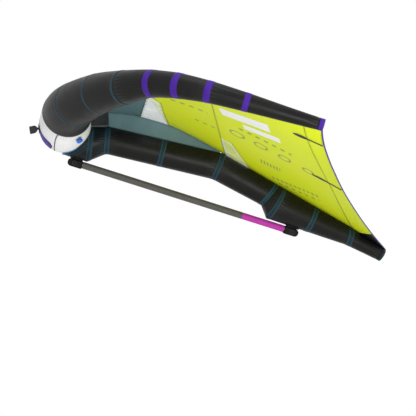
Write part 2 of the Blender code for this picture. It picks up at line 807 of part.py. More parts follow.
def make_trailing_tape(acrosses):
    """Binding along the trailing edge of each half, a hair aft of the cloth."""
    last = CROSS_LINE_SHARES[-1][0]
    places = [canopy_point(across, last) for across in acrosses]
    places[-1] = places[-2] + TAPE_LAST_CELL_SHARE * (places[-1] - places[-2])
    rings = []
    for k, (across, place) in enumerate(zip(acrosses, places)):
        along = places[min(k + 1, len(places) - 1)] - places[max(k - 1, 0)]
        along /= np.linalg.norm(along)
        aft = place - canopy_point(across, last - STEP_SHARE)
        aft -= along * float(aft @ along)
        aft /= np.linalg.norm(aft)
        near, far = place + aft * SEAM_GAP, place + aft * (SEAM_GAP + TAPE_WIDTH)
        drop = canopy_normal(across, last) * CANOPY_WALL / 2
        lift = canopy_normal(across, last) * (TAPE_THICKNESS - CANOPY_WALL / 2)
        rings.append(np.array((near + lift, far + lift, far - drop, near - drop)))
    rings[0][:, 0] = SEAM_GAP / 2
    made = [solid_loft("port_trailing_tape", rings, "edge_tape")]
    made.append(solid_loft("starboard_trailing_tape", [mirrored(ring) for ring in rings], "edge_tape"))
    return made


def batten_ring(share, place_shares):
    """Ring of a batten at a share of its length."""
    start_across, end_across, start_line = place_shares
    across = start_across + share * (end_across - start_across)
    line = start_line + share * (BATTEN_END_SHARE - start_line)
    place, normal = canopy_point(across, line), canopy_normal(across, line)
    ahead = canopy_point(across, line + STEP_SHARE) - canopy_point(across, line - STEP_SHARE)
    side = np.cross(normal, ahead)
    arm = side / np.linalg.norm(side) * BATTEN_WIDTH * smooth_table(BATTEN_WIDTH_SHARES, share) / 2
    high = place - normal * (CANOPY_WALL / 2 + RUNNING_GAP)
    low = high - normal * BATTEN_THICKNESS
    return np.array((high - arm, high + arm, low + arm, low - arm))


def make_battens():
    """Two tapered battens under the trailing cloth of each half."""
    made = []
    for number, place_shares in enumerate(BATTEN_PLACE_SHARES, start=1):
        rings = [batten_ring(share, place_shares) for share in line_steps(0.0, 1.0, BATTEN_STATION_COUNT - 1)]
        made.append(solid_loft(f"port_batten_{number}", rings, "batten"))
        made.append(solid_loft(f"starboard_batten_{number}", [mirrored(ring) for ring in rings], "batten"))
    return made


def plate(name, outline, thickness, finish):
    """Flat plate in the middle plane from an outline of back and up pairs."""
    count = len(outline)
    port = [(thickness / 2, back, up) for back, up in outline]
    starboard = [(-thickness / 2, back, up) for back, up in outline]
    faces = [tuple(range(count)), tuple(range(count, 2 * count))]
    for k in range(count):
        following = (k + 1) % count
        faces.append((k, following, count + following, count + k))
    return add_object(name, port + starboard, faces, finish, smooth=False)


def strut_top_height(back):
    """Height of the strut's top line at a distance back."""
    for index in range(END_RING):
        near, far = strut_corners(index)[0], strut_corners(index + 1)[0]
        if back <= far[1]:
            break
    return near[2] + (back - near[1]) * (far[2] - near[2]) / (far[1] - near[1])


def root_edge():
    """Backs and heights of the canopy's root edge, one for each row of its panels."""
    shares = sorted({round(share, 6) for rows in panel_lines().values() for share in rows})
    start, stop = root_span()
    backs = [start + share * (stop - start) for share in shares]
    return backs, [root_height(back) for back in backs]


def web_drop():
    """How far the web's top edge lies under the canopy's middle line."""
    return CANOPY_WALL / 2 + RUNNING_GAP + WEB_WALL / 2


def web_outline(start, stop):
    """Outline between the canopy's underside and the strut's top, from start back to stop."""
    backs, heights = root_edge()
    knee = strut_corners(KNEE_RING)[0][1]
    highs = [start] + [back for back in backs if start < back < stop] + [stop]
    lows = [start, knee, stop] if start < knee < stop else [start, stop]
    upper = [(back, float(np.interp(back, backs, heights)) - web_drop()) for back in highs]
    lower = [(back, strut_top_height(back) + SEAM_GAP) for back in lows]
    return upper + lower[::-1]


def make_web():
    """Slate web between strut and canopy, and the black patch at its front."""
    crown = strut_corners(CROWN_RING)[0][1]
    front = strut_corners(KNEE_RING)[0][1] + SEAM_GAP
    stop = crown
    while root_height(stop) - web_drop() - strut_top_height(stop) - SEAM_GAP < WEB_LEAST_HEIGHT:
        stop -= WEB_LEAST_HEIGHT
    web = plate("centre_web", web_outline(front + SEAM_GAP, stop), WEB_WALL, "slate_canopy")
    start = front - WEB_PATCH_LENGTH
    patch = plate("web_patch", web_outline(start, front), WEB_WALL, "black_sleeve")
    cut(patch, edge_cutter(SEAM_GAP))
    return [web, patch]


def box(name, low, high, finish):
    """Box between two corners."""
    xs, ys, zs = zip(low, high)
    points = [(x, y, z) for x in xs for y in ys for z in zs]
    faces = [(0, 1, 3, 2), (4, 6, 7, 5), (0, 4, 5, 1), (2, 3, 7, 6), (0, 2, 6, 4), (1, 5, 7, 3)]
    return add_object(name, points, faces, finish, smooth=False)


def make_boom():
    """Inner tube, two grips and two end fittings."""
    reach = GRIP_HALF_LENGTH + TUBE_ENGAGEMENT
    bore = TUBE_RADIUS + SEAM_GAP
    spans = (
        ("boom_tube", TUBE_RADIUS, TUBE_BORE_RADIUS, -reach, reach, "boom_alloy"),
        ("boom_front_grip", GRIP_RADIUS, bore, -GRIP_HALF_LENGTH, GRIP_SPLIT - SEAM_GAP, "grey_grip"),
        ("boom_rear_grip", GRIP_RADIUS, bore, GRIP_SPLIT, GRIP_HALF_LENGTH, "magenta_grip"),
    )
    made = []
    for name, outer, inner, low, high, finish in spans:
        piece = turned(name, tube_profile(outer, inner, low, high), BOOM_SIDES, finish)
        made.append(place_along(piece, (0, 0, 0), (0, 1, 0)))
    return made + [make_fitting("boom_front_fitting", -1), make_fitting("boom_rear_fitting", 1)]


def fitting_outline():
    """Side outline of a fitting, from the grip's end out to the rounded nose."""
    start, tip = GRIP_HALF_LENGTH + SEAM_GAP, boom_half_length()
    low = FITTING_TOP - FITTING_DEPTH
    radius = FITTING_NOSE_RADIUS
    points = [(start, FITTING_TOP), (start, low)]
    for k in range(FITTING_NOSE_POINT_COUNT + 1):
        turn = -math.pi / 2 + math.pi * k / FITTING_NOSE_POINT_COUNT
        centre_up = low + radius if turn < 0 else FITTING_TOP - radius
        points.append((tip - radius + radius * math.cos(turn), centre_up + radius * math.sin(turn)))
    return points


def pocket_centre():
    """Distance from the boom's middle to the middle of a fitting's pocket."""
    return GRIP_HALF_LENGTH + TUBE_ENGAGEMENT + POCKET_WALL / 2 + POCKET_LENGTH / 2


def bore_out(thing, radius, sides, reach, start, direction):
    """Cut a round hole of a length into a piece, from a start point along a direction."""
    drill = turned("drill", rod_profile(radius, 0.0, reach), sides, "boom_alloy")
    cut(thing, place_along(drill, start, direction))


def boom_half_length():
    """Distance from the boom's middle to the tip of a fitting."""
    return pocket_centre() + POCKET_LENGTH / 2 + FITTING_END_LENGTH


def make_fitting(name, side):
    """End fitting with its tube socket, the pocket for the clip post and the button's bore."""
    outline = [(side * back, up) for back, up in fitting_outline()]
    fitting = plate(name, outline, FITTING_WIDTH, "moulded_black")
    bevel(fitting, FITTING_BEVEL)
    socket_reach = OVERRUN + TUBE_ENGAGEMENT + RUNNING_GAP
    mouth = (0, side * (GRIP_HALF_LENGTH - OVERRUN), 0)
    bore_out(fitting, TUBE_RADIUS + SEAM_GAP, BOOM_SIDES, socket_reach, mouth, (0, side, 0))
    middle = side * pocket_centre()
    half = POCKET_LENGTH / 2
    low = (-POCKET_WIDTH / 2, middle - half, FITTING_TOP - POCKET_DEPTH)
    high = (POCKET_WIDTH / 2, middle + half, FITTING_TOP + OVERRUN)
    cut(fitting, box("pocket", low, high, "boom_alloy"))
    floor = (button_floor(), middle, button_height())
    bore_out(fitting, BUTTON_RADIUS + SEAM_GAP, BUTTON_SIDES, FITTING_WIDTH, floor, (1, 0, 0))
    inside = (0, middle, button_height())
    bore_out(fitting, BUTTON_STEM_RADIUS + SEAM_GAP, BUTTON_SIDES, FITTING_WIDTH / 2, inside, (1, 0, 0))
    return fitting


def button_height():
    """Height of the buttons' axis."""
    return FITTING_TOP - FITTING_DEPTH / 2


def button_floor():
    """Distance out to the floor of a button's bore, with room for its travel and the packed spring."""
    packed = (SPRING_TURN_COUNT + 1) * SPRING_WIRE_RADIUS * 2 + SEAM_GAP + RUNNING_GAP
    return FITTING_WIDTH / 2 + BUTTON_PROUD - BUTTON_HEAD_LENGTH - BUTTON_TRAVEL - packed


def make_button(label, side):
    """Release button: a round head outside and a stem that reaches the pocket, with its spring."""
    middle = side * pocket_centre()
    outer = FITTING_WIDTH / 2 + BUTTON_PROUD
    shoulder = outer - BUTTON_HEAD_LENGTH
    tip = POCKET_WIDTH / 2 + RUNNING_GAP
    profile = [
        (0.0, outer),
        (BUTTON_RADIUS, outer),
        (BUTTON_RADIUS, shoulder),
        (BUTTON_STEM_RADIUS, shoulder),
        (BUTTON_STEM_RADIUS, tip),
        (0.0, tip),
    ]
    button = turned(f"{label}_release_button", profile, BUTTON_SIDES, "moulded_black")
    place_along(button, (0, middle, button_height()), (1, 0, 0))
    low, high = button_floor() + SEAM_GAP, shoulder - SEAM_GAP
    spring = make_spring(f"{label}_button_spring", low, high)
    place_along(spring, (0, middle, button_height()), (1, 0, 0))
    return button, spring


def make_spring(name, low, high):
    """Coil spring about Z between two heights, as one helix of round wire."""
    radius = (BUTTON_RADIUS + BUTTON_STEM_RADIUS) / 2
    wire = SPRING_WIRE_RADIUS
    count = SPRING_TURN_COUNT * SPRING_TURN_POINT_COUNT
    curve = bpy.data.curves.new(name, "CURVE")
    curve.dimensions = "3D"
    curve.bevel_depth = wire
    curve.bevel_resolution = 1
    curve.use_fill_caps = True
    spline = curve.splines.new("POLY")
    spline.points.add(count)
    for k in range(count + 1):
        turn = 2 * math.pi * k / SPRING_TURN_POINT_COUNT
        height = low + wire + (high - low - 2 * wire) * k / count
        spline.points[k].co = (radius * math.cos(turn), radius * math.sin(turn), height, 1.0)
    thing = bpy.data.objects.new(name, curve)
    bpy.context.scene.collection.objects.link(thing)
    thing = settle_curve(thing)
    thing.data.materials.append(finish_of("steel"))
    return thing


def settle_curve(thing):
    """Turn a curve object into a mesh object of the same name."""
    bpy.context.view_layer.update()
    graph = bpy.context.evaluated_depsgraph_get()
    mesh = bpy.data.meshes.new_from_object(thing.evaluated_get(graph))
    name = thing.name
    bpy.data.objects.remove(thing, do_unlink=True)
    fresh = bpy.data.objects.new(name, mesh)
    bpy.context.scene.collection.objects.link(fresh)
    return fresh


def strut_cutter():
    """Closed strut a hair larger than its sleeves."""
    rings = [strut_ring(*strut_corners(i), -SEAM_GAP) for i in range(END_RING + 1)]
    return solid_loft("strut_cutter", rings, "black_sleeve")


def make_clip(label, side):
    """Clip base under the strut: a pad shaped to the sleeve and a post that drops into the fitting."""
    near = GRIP_HALF_LENGTH + CLIP_CLEAR_OF_NOSE
    far = boom_half_length() - CLIP_CLEAR_OF_NOSE
    lows, highs = sorted((side * near, side * far))
    floor = FITTING_TOP + SEAM_GAP
    corner = (-CLIP_WIDTH / 2, lows, floor)
    pad = box(f"{label}_clip_base", corner, (CLIP_WIDTH / 2, highs, CLIP_TOP), "moulded_black")
    bevel(pad, CLIP_PAD_BEVEL, segments=1)
    middle = side * pocket_centre()
    half = POCKET_LENGTH / 2 - POST_CLEARANCE
    wide = POCKET_WIDTH / 2 - POST_CLEARANCE
    low = (-wide, middle - half, floor - POST_LENGTH)
    join(pad, box("post", low, (wide, middle + half, floor + CLIP_PAD_BEVEL), "moulded_black"))
    cut(pad, strut_cutter())
    return pad


def facet_point(out, place, inset):
    """Point on the faceted nose at a distance out, at a place counted in sides round the ring."""
    side = int(math.floor(place))
    ends = []
    for ring in (edge_ring(0.0, inset), edge_ring(1.0 / STATION_RING_COUNT, inset)):
        near, far = ring[side % EDGE_SIDES], ring[(side + 1) % EDGE_SIDES]
        ends.append(near + (place - side) * (far - near))
    point = ends[0] + abs(out) / ends[1][0] * (ends[1] - ends[0])
    return mirrored(point) if out < 0 else point


def nose_patch(name, outs, places, inner, outer, finish):
    """Sheet that lies on the nose, over a grid of distances out and places round the ring."""
    rows, columns = len(outs), len(places)
    points = [facet_point(out, place, -inner) for out in outs for place in places]
    points += [facet_point(out, place, -outer) for out in outs for place in places]
    count = rows * columns
    faces = []
    for i in range(rows - 1):
        for j in range(columns - 1):
            a, b = i * columns + j, i * columns + j + 1
            d, c = a + columns, b + columns
            faces += [(a, b, c), (a, c, d)]
            faces += [(a + count, c + count, b + count), (a + count, d + count, c + count)]
    rim = list(range(columns))
    rim += [i * columns + columns - 1 for i in range(1, rows)]
    rim += [(rows - 1) * columns + j for j in range(columns - 2, -1, -1)]
    rim += [i * columns for i in range(rows - 2, 0, -1)]
    for first, second in zip(rim, rim[1:] + rim[:1]):
        faces.append((first, second, second + count, first + count))
    return add_object(name, points, faces, finish, smooth=False)


def handle_frame():
    """Axis point, outward and around directions of the front handle, in the middle plane."""
    base = facet_point(HANDLE_HALF_LENGTH, HANDLE_PLACE, 0.0)
    near = facet_point(HANDLE_HALF_LENGTH, HANDLE_PLACE - HANDLE_FACET_HALF_SHARE, 0.0)
    far = facet_point(HANDLE_HALF_LENGTH, HANDLE_PLACE + HANDLE_FACET_HALF_SHARE, 0.0)
    around = far - near
    around[0] = 0.0
    around /= np.linalg.norm(around)
    outward = np.cross((1.0, 0.0, 0.0), around)
    if outward[1] > 0:
        outward = -outward
    below = SEAM_GAP + PATCH_WALL + RUNNING_GAP + ANCHOR_THICKNESS
    base[0] = 0.0
    return base + outward * (below + SEAM_GAP + HANDLE_FOOT_WIDTH / 2), outward, around


def handle_path():
    """Half of the strap's middle line: distance out, height over the axis, width."""
    foot = HANDLE_FOOT_WIDTH / 2
    rows = []
    for turn in HANDLE_FOOT_TURNS:
        rows.append((HANDLE_HALF_LENGTH, -foot * math.cos(turn), HANDLE_FOOT_WIDTH * math.sin(turn)))
    rows.append((HANDLE_HALF_LENGTH, HANDLE_STANDOFF * HANDLE_BEND_SHARE, HANDLE_WIDTH))
    rows.append((HANDLE_HALF_LENGTH - STRAP_THICKNESS, HANDLE_STANDOFF - HANDLE_BEND, HANDLE_WIDTH))
    rows.append((HANDLE_HALF_LENGTH - HANDLE_BEND, HANDLE_STANDOFF - STRAP_THICKNESS, HANDLE_WIDTH))
    rows.append((HANDLE_GRIP_HALF_LENGTH, HANDLE_STANDOFF, HANDLE_WIDTH))
    return rows


def flat_ring(middle, arm, thick):
    """Ring of four corners round a middle point, from its half width and half thickness."""
    return np.array((middle - arm - thick, middle + arm - thick, middle + arm + thick, middle - arm + thick))


def make_handle_base():
    """Purple patch on the nose and the two sewn anchors on it."""
    outer = SEAM_GAP + PATCH_WALL
    outs = (-PATCH_HALF_WIDTH, 0.0, PATCH_HALF_WIDTH)
    places = range(PATCH_FIRST_SIDE, PATCH_LAST_SIDE + 1)
    patch = nose_patch("handle_patch", outs, places, 0.0, outer, "purple_tape")
    cut(patch, edge_cutter(SEAM_GAP))
    low, high = outer + RUNNING_GAP, outer + RUNNING_GAP + ANCHOR_THICKNESS
    near, far = HANDLE_HALF_LENGTH - ANCHOR_LENGTH / 2, HANDLE_HALF_LENGTH + ANCHOR_LENGTH / 2
    span = (HANDLE_PLACE - HANDLE_FACET_HALF_SHARE, HANDLE_PLACE + HANDLE_FACET_HALF_SHARE)
    port = nose_patch("port_handle_anchor", (near, far), span, low, high, "webbing")
    starboard = nose_patch("starboard_handle_anchor", (-far, -near), span, low, high, "webbing")
    return [patch, port, starboard]


def make_handle():
    """The strap that swings on the anchors and its padded grip."""
    axis, outward, around = handle_frame()
    rows = handle_path()
    full = rows + [(-out, up, width) for out, up, width in rows[::-1]]
    middles = [np.array((out, 0.0, 0.0)) + axis + outward * up for out, up, _ in full]
    rings = []
    for k, (_, _, width) in enumerate(full):
        way = middles[min(k + 1, len(full) - 1)] - middles[max(k - 1, 0)]
        thick = np.cross(way / np.linalg.norm(way), around) * STRAP_THICKNESS / 2
        rings.append(flat_ring(middles[k], around * width / 2, thick))
    strap = solid_loft("front_handle_strap", rings, "webbing")
    outer_rings, inner_rings = [], []
    pad = (HANDLE_GRIP_THICKNESS - STRAP_THICKNESS) / 2
    reach = HANDLE_GRIP_HALF_LENGTH - STRAP_THICKNESS
    for out in (-reach, reach):
        middle = axis + outward * HANDLE_STANDOFF + np.array((out, 0.0, 0.0))
        for rings_of, margin in ((outer_rings, pad), (inner_rings, SEAM_GAP)):
            arm = around * (HANDLE_WIDTH / 2 + margin)
            rings_of.append(flat_ring(middle, arm, outward * (STRAP_THICKNESS / 2 + margin)))
    grip = shell_loft("front_handle_grip", outer_rings, inner_rings, "grey_grip")
    swing = add_empty("handle_axis", axis)
    hang_on(swing, strap, grip)
    return [swing]


def valve_frame():
    """Seat point and outward direction of the valve, on a flat of the centre sleeve."""
    near, far = (edge_ring(station)[[VALVE_SIDE, VALVE_SIDE + 1]] for station in VALVE_STATIONS)
    seat = (near.sum(axis=0) + far.sum(axis=0)) / 4
    normal = np.cross(far.sum(axis=0) - near.sum(axis=0), near[1] + far[1] - near[0] - far[0])
    centre = sum(edge_curve(station)[0] for station in VALVE_STATIONS) / 2
    normal /= np.linalg.norm(normal)
    if normal @ (seat - centre) < 0:
        normal = -normal
    along = far.sum(axis=0) - near.sum(axis=0)
    along -= normal * float(along @ normal)
    return seat + normal * VALVE_SEAT_GAP, normal, along / np.linalg.norm(along)


def set_on_valve(thing):
    """Move a piece made about Z to the valve's seat, with its X axis along the tube."""
    seat, normal, along = valve_frame()
    across = np.cross(normal, along)
    turn = Matrix([list(row) for row in np.array((along, across, normal)).T]).to_4x4()
    thing.data.transform(Matrix.Translation(Vector(seat)) @ turn)
    return thing


def valve_hinge():
    """Distance along the tube and height of the cap's hinge axis over the valve's seat."""
    pivot = VALVE_CAP_RADIUS + SEAM_GAP + VALVE_HINGE_RADIUS
    return pivot, VALVE_FLANGE_THICKNESS + VALVE_BODY_LENGTH


def make_valve_body():
    """Body that screws into the flange, with the lug and pin of the cap's hinge."""
    pivot, top = valve_hinge()
    profile = [
        (0.0, VALVE_FLANGE_THICKNESS),
        (VALVE_BORE_RADIUS, VALVE_FLANGE_THICKNESS),
        (VALVE_BORE_RADIUS, top),
        (VALVE_BODY_RADIUS, top),
        (VALVE_BODY_RADIUS, SEAM_GAP),
        (0.0, SEAM_GAP),
    ]
    body = turned("valve_body", profile, VALVE_SIDES, "valve_grey")
    half = VALVE_HINGE_LENGTH / 2
    low = (VALVE_BODY_RADIUS - VALVE_HINGE_RADIUS, -half, top - VALVE_LUG_DEPTH)
    join(body, box("lug", low, (pivot + VALVE_HINGE_RADIUS, half, top - RUNNING_GAP), "valve_grey"))
    pin = turned("pin", rod_profile(VALVE_HINGE_RADIUS, -half, half), VALVE_SIDES // 2, "valve_grey")
    join(body, place_along(pin, (pivot, 0, top), (0, 1, 0)))
    return body


def make_valve():
    """Flange bonded to the sleeve, the valve's body and the hinged blue cap."""
    pivot, top = valve_hinge()
    bore = VALVE_BODY_RADIUS + SEAM_GAP
    profile = tube_profile(VALVE_FLANGE_RADIUS, bore, -VALVE_FLANGE_THICKNESS, VALVE_FLANGE_THICKNESS)
    flange = turned("valve_flange", profile, VALVE_SIDES, "valve_grey")
    plug = VALVE_BORE_RADIUS - RUNNING_GAP
    low = top + SEAM_GAP
    profile = [
        (0.0, low + VALVE_CAP_THICKNESS),
        (VALVE_CAP_RADIUS, low + VALVE_CAP_THICKNESS),
        (VALVE_CAP_RADIUS, low),
        (plug, low),
        (plug, low - VALVE_PLUG_LENGTH),
        (0.0, low - VALVE_PLUG_LENGTH),
    ]
    cap = turned("valve_cap", profile, VALVE_SIDES, "valve_blue")
    body = make_valve_body()
    for piece in (flange, body, cap):
        set_on_valve(piece)
    cut(flange, edge_cutter(SEAM_GAP))
    seat, normal, along = valve_frame()
    turn_axis = add_empty("valve_axis", seat)
    hang_on(turn_axis, body)
    cap_axis = add_empty("valve_cap_axis", seat + along * pivot + normal * top)
    hang_on(cap_axis, cap)
    return [flange, turn_axis, cap_axis]


def make_all():
    """Build every piece, with an empty on the axis of each moving body."""
    clear_scene()
    wing = make_leading_edge() + make_strut() + make_canopy() + make_battens() + make_web()
    wing += [make_clip("front", -1), make_clip("rear", 1)]
    wing += make_handle_base() + make_handle() + make_valve()
    make_boom()
    for label, side in (("front", -1), ("rear", 1)):
        button, _ = make_button(label, side)
        hang_on(add_empty(f"{label}_button_axis", (0.0, side * pocket_centre(), button_height())), button)
    hang_on(add_empty("boom_release_axis", (0.0, 0.0, FITTING_TOP)), *wing)


make_all()
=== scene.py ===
# %% [markdown]
# # Dressing a wingfoil wing
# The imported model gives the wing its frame: the bodies that move, the rigid clips and buttons, and the size of
# everything. This lesson lays the cloth, the tapes and the grips over that frame. Nearly every new piece is a
# surface worked out with numpy, because a wing is a set of smooth tubes and one tensioned sheet, and such
# shapes are easier to write as formulas than to push into place by hand.

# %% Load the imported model
import math

import bmesh
import bpy
import numpy as np
from mathutils import Matrix, Vector


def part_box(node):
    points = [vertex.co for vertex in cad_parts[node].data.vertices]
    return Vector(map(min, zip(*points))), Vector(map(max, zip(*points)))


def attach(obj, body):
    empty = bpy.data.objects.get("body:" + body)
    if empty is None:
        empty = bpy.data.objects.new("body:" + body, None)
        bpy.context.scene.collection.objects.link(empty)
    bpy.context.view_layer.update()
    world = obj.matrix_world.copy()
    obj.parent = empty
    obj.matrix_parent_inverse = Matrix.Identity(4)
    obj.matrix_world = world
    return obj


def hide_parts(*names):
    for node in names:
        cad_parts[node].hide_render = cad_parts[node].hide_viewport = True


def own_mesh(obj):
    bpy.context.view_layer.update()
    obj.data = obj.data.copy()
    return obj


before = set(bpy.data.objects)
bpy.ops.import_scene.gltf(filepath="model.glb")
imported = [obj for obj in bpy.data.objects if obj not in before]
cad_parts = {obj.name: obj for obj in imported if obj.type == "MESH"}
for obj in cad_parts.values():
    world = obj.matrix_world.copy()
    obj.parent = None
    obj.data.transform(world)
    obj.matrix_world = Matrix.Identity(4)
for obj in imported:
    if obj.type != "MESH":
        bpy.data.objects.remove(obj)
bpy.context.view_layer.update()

# %% [markdown]
# ## The camera
# The wing floats and the viewer stands off its port tip, a little above the boom, with the camera rolled. A
# long lens keeps the near tip from swelling. The camera's axes are worked out from two angles and a roll,
# and put straight into its matrix, so the framing never depends on a constraint.

# %% Camera
AIM = np.array((0.0, 0.126, -0.0144))
DISTANCE, FOCAL, SENSOR = 6.5, 117.17, 36.0
SWING, LIFT, ROLL = math.radians(6.0), math.radians(3.0), math.radians(17.9)


def add_object(name, data):
    """Object with some data, put into the scene."""
    thing = bpy.data.objects.new(name, data)
    bpy.context.scene.collection.objects.link(thing)
    return thing


back = np.array((math.cos(SWING) * math.cos(LIFT), -math.sin(SWING) * math.cos(LIFT), math.sin(LIFT)))
level = np.array((math.sin(SWING), math.cos(SWING), 0.0))
plumb = np.cross(back, level)
right = math.cos(ROLL) * level + math.sin(ROLL) * plumb
head = math.cos(ROLL) * plumb - math.sin(ROLL) * level
lens = bpy.data.cameras.new("camera")
lens.sensor_width, lens.lens = SENSOR, FOCAL
camera = add_object("camera", lens)
place = Matrix(np.array((right, head, back)).T.tolist()).to_4x4()
place.translation = Vector(AIM + DISTANCE * back)
camera.matrix_world = place
bpy.context.scene.camera = camera
print("camera at", [round(float(x), 3) for x in place.translation])

# %% [markdown]
# ## From a grid of points to a piece
# A surface is a grid of points: rows one way, columns the other. The helpers below turn the grid into faces,
# give each corner its place on the cloth in metres, and each point its distance from the nearest sewn edge.
# Materials read those two, so weave, stripes and stitches keep their real size and follow the piece.

# %% Numbers and grids
OUT, UP = np.array((1.0, 0.0, 0.0)), np.array((0.0, 0.0, 1.0))
MIRROR = np.array((-1.0, 1.0, 1.0))
SIDES = {"port": np.array((1.0, 1.0, 1.0)), "starboard": MIRROR}


def shares(first, last, count):
    """Evenly spaced numbers from the first to the last."""
    return np.linspace(first, last, count)


def joined(*runs):
    """Runs of numbers in one, where each starts with the number that the one before it ended with."""
    return np.concatenate([runs[0], *(run[1:] for run in runs[1:])])


def turns(count, more=0):
    """Evenly spaced angles of one turn; one more comes back to the first."""
    return np.arange(count + more) * 2 * math.pi / count


def grid_of(rows, columns):
    """Two grids, with the row's number and the column's number at each point."""
    return np.meshgrid(rows, columns, indexing="ij")


def unit(vectors):
    """Vectors scaled to length one."""
    return vectors / np.linalg.norm(vectors, axis=-1, keepdims=True)


def run_along(points, axis):
    """Distance run along a grid's rows (axis 0) or columns (axis 1), by adding up its steps."""
    steps = np.linalg.norm(np.diff(points, axis=axis), axis=-1)
    return np.concatenate((np.zeros_like(np.take(steps, [0], axis)), np.cumsum(steps, axis=axis)), axis=axis)


def to_nearer_end(along):
    """Distance from the nearer end of a run."""
    return np.minimum(along, along[-1:] - along)


def squared(count, wide_power, deep_power):
    """Cosine and sine round a ring, to low powers that keep their signs, which makes the ring squarer."""
    waves = ((np.cos(turns(count)), wide_power), (np.sin(turns(count)), deep_power))
    return [np.sign(wave) * np.abs(wave) ** power for wave, power in waves]


def swept(middle, side, up, count, powers=(1.0, 1.0)):
    """Rings of points about a line: side by the cosine of a turn and up by its sine."""
    wide, deep = squared(count, *powers)
    return middle[:, None] + wide[:, None] * side.reshape(-1, 1, 3) + deep[:, None] * up.reshape(-1, 1, 3)


def grid_faces(rows, columns, ring=False):
    """Quads between neighbouring points of a grid, numbered row by row; a ring's last column meets its first."""
    i, j = grid_of(np.arange(rows - 1), np.arange(columns - (not ring)))
    k = (j + 1) % columns
    corners = (i * columns + j, i * columns + k, (i + 1) * columns + k, (i + 1) * columns + j)
    return np.stack(corners, -1).reshape(-1, 4)


def corner_lay(across, along):
    """Place on the cloth of each quad's four corners."""
    both = np.stack((across, along), -1)
    return np.stack((both[:-1, :-1], both[:-1, 1:], both[1:, 1:], both[1:, :-1]), 2).reshape(-1, 4, 2)


def add_mesh(name, points, lay, border, *blocks):
    """Mesh object from points and blocks of faces: doubles merged, loose points out, faces turned outward."""
    mesh = bpy.data.meshes.new(name)
    mesh.from_pydata(points.reshape(-1, 3).tolist(), [], [face for block in blocks for face in block.tolist()])
    if lay is not None:
        mesh.uv_layers.new(name="lay").data.foreach_set("uv", lay.reshape(-1).astype(np.float32))
    edge = mesh.attributes.new("border", "FLOAT", "POINT")
    edge.data.foreach_set("value", border.reshape(-1).astype(np.float32))
    work = bmesh.new()
    work.from_mesh(mesh)
    bmesh.ops.remove_doubles(work, verts=work.verts, dist=0.00001)
    bmesh.ops.recalc_face_normals(work, faces=work.faces)
    bmesh.ops.delete(work, geom=[point for point in work.verts if not point.link_faces], context="VERTS")
    work.to_mesh(mesh)
    work.free()
    mesh.shade_smooth()
    return add_object(name, mesh)


def thicken(piece, wall):
    """Give a sheet its thickness, half to each side."""
    modifier = piece.modifiers.new("wall", "SOLIDIFY")
    modifier.thickness, modifier.offset = wall, 0.0
    return piece


def dress(piece, material, body, *nodes, slot=None):
    """Give a piece its finish, the body that it moves with and the nodes that it stands for; slot is not used."""
    piece.data.materials.append(material)
    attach(piece, body)
    if nodes:
        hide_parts(*nodes)
    return piece


def tube_mesh(name, points, across, along, border, closed=False):
    """Tube from rings that end on their first point; closed adds a point in the middle of each end."""
    lay, points, border = corner_lay(across, along), points[:, :-1], border[:, :-1]
    rows, columns = points.shape[:2]
    walls = grid_faces(rows, columns, ring=True)
    if not closed:
        return add_mesh(name, points, lay, border, walls)
    j = np.arange(columns)
    k, start, end = (j + 1) % columns, rows * columns, (rows - 1) * columns
    first, last = (k, j, 0 * j + start), (end + j, end + k, 0 * j + start + 1)
    fans = np.concatenate((np.stack(first, -1), np.stack(last, -1)))
    lay = np.concatenate((lay.reshape(-1, 2), np.zeros((fans.size, 2))))
    points = np.concatenate((points.reshape(-1, 3), points[[0, -1]].mean(1)))
    return add_mesh(name, points, lay, np.append(border.reshape(-1), (1.0, 1.0)), walls, fans)


def closed_tube(name, points, material, node, body="wing", slot=None):
    """Closed tube from rings of points, dressed and standing for a node."""
    ring = np.concatenate((points, points[:, :1]), 1)
    along = run_along(ring, 0)
    piece = tube_mesh(name, ring, run_along(ring, 1), along, to_nearer_end(along), closed=True)
    return dress(piece, material, body, node, slot=slot)


print("helpers ready")

# %% [markdown]
# ## Smooth tables
# The wing's shape was measured at a few places. A table holds those places, and a monotone cubic reads it
# anywhere between them without overshooting, which keeps a row of bends from rippling.

# %% Reading a table


def smooth_table(table, where):
    """Value of a two-column table at many places, by a cubic whose slopes are harmonic means."""
    xs, ys = np.array(table, float).T
    steps, where = np.diff(xs), np.asarray(where, float)
    slopes = np.diff(ys) / steps
    both = slopes[:-1] * slopes[1:]
    inner = np.where(both > 0, 2 * both / np.where(both > 0, slopes[:-1] + slopes[1:], 1.0), 0.0)
    tangents = np.concatenate((slopes[:1], inner, slopes[-1:]))
    i = np.clip(np.searchsorted(xs, where) - 1, 0, len(steps) - 1)
    t = (where - xs[i]) / steps[i]
    keep, take = (1 + 2 * t) * (1 - t) ** 2, t * t * (3 - 2 * t)
    lead, trail = t * (1 - t) ** 2, t * t * (t - 1)
    return keep * ys[i] + take * ys[i + 1] + steps[i] * (lead * tangents[i] + trail * tangents[i + 1])


def eased(value, low, high):
    """Share from 0 at low to 1 at high, with a soft start and stop."""
    t = np.clip((value - low) / (high - low), 0.0, 1.0)
    return t * t * (3 - 2 * t)


print("a table read between its places:", round(float(smooth_table(((0, 0), (1, 1), (2, 1)), 0.5)), 3))

# %% [markdown]
# ## The leading edge as a formula
# An inflated leading edge is a tube whose centre line climbs and sweeps back while its radius shrinks. Eleven
# stations on the port half carry centre and radius; a Catmull-Rom curve joins them. Cloth tubes are sewn from
# straight lengths, so outboard the curve is pulled halfway towards straight runs between the seams.

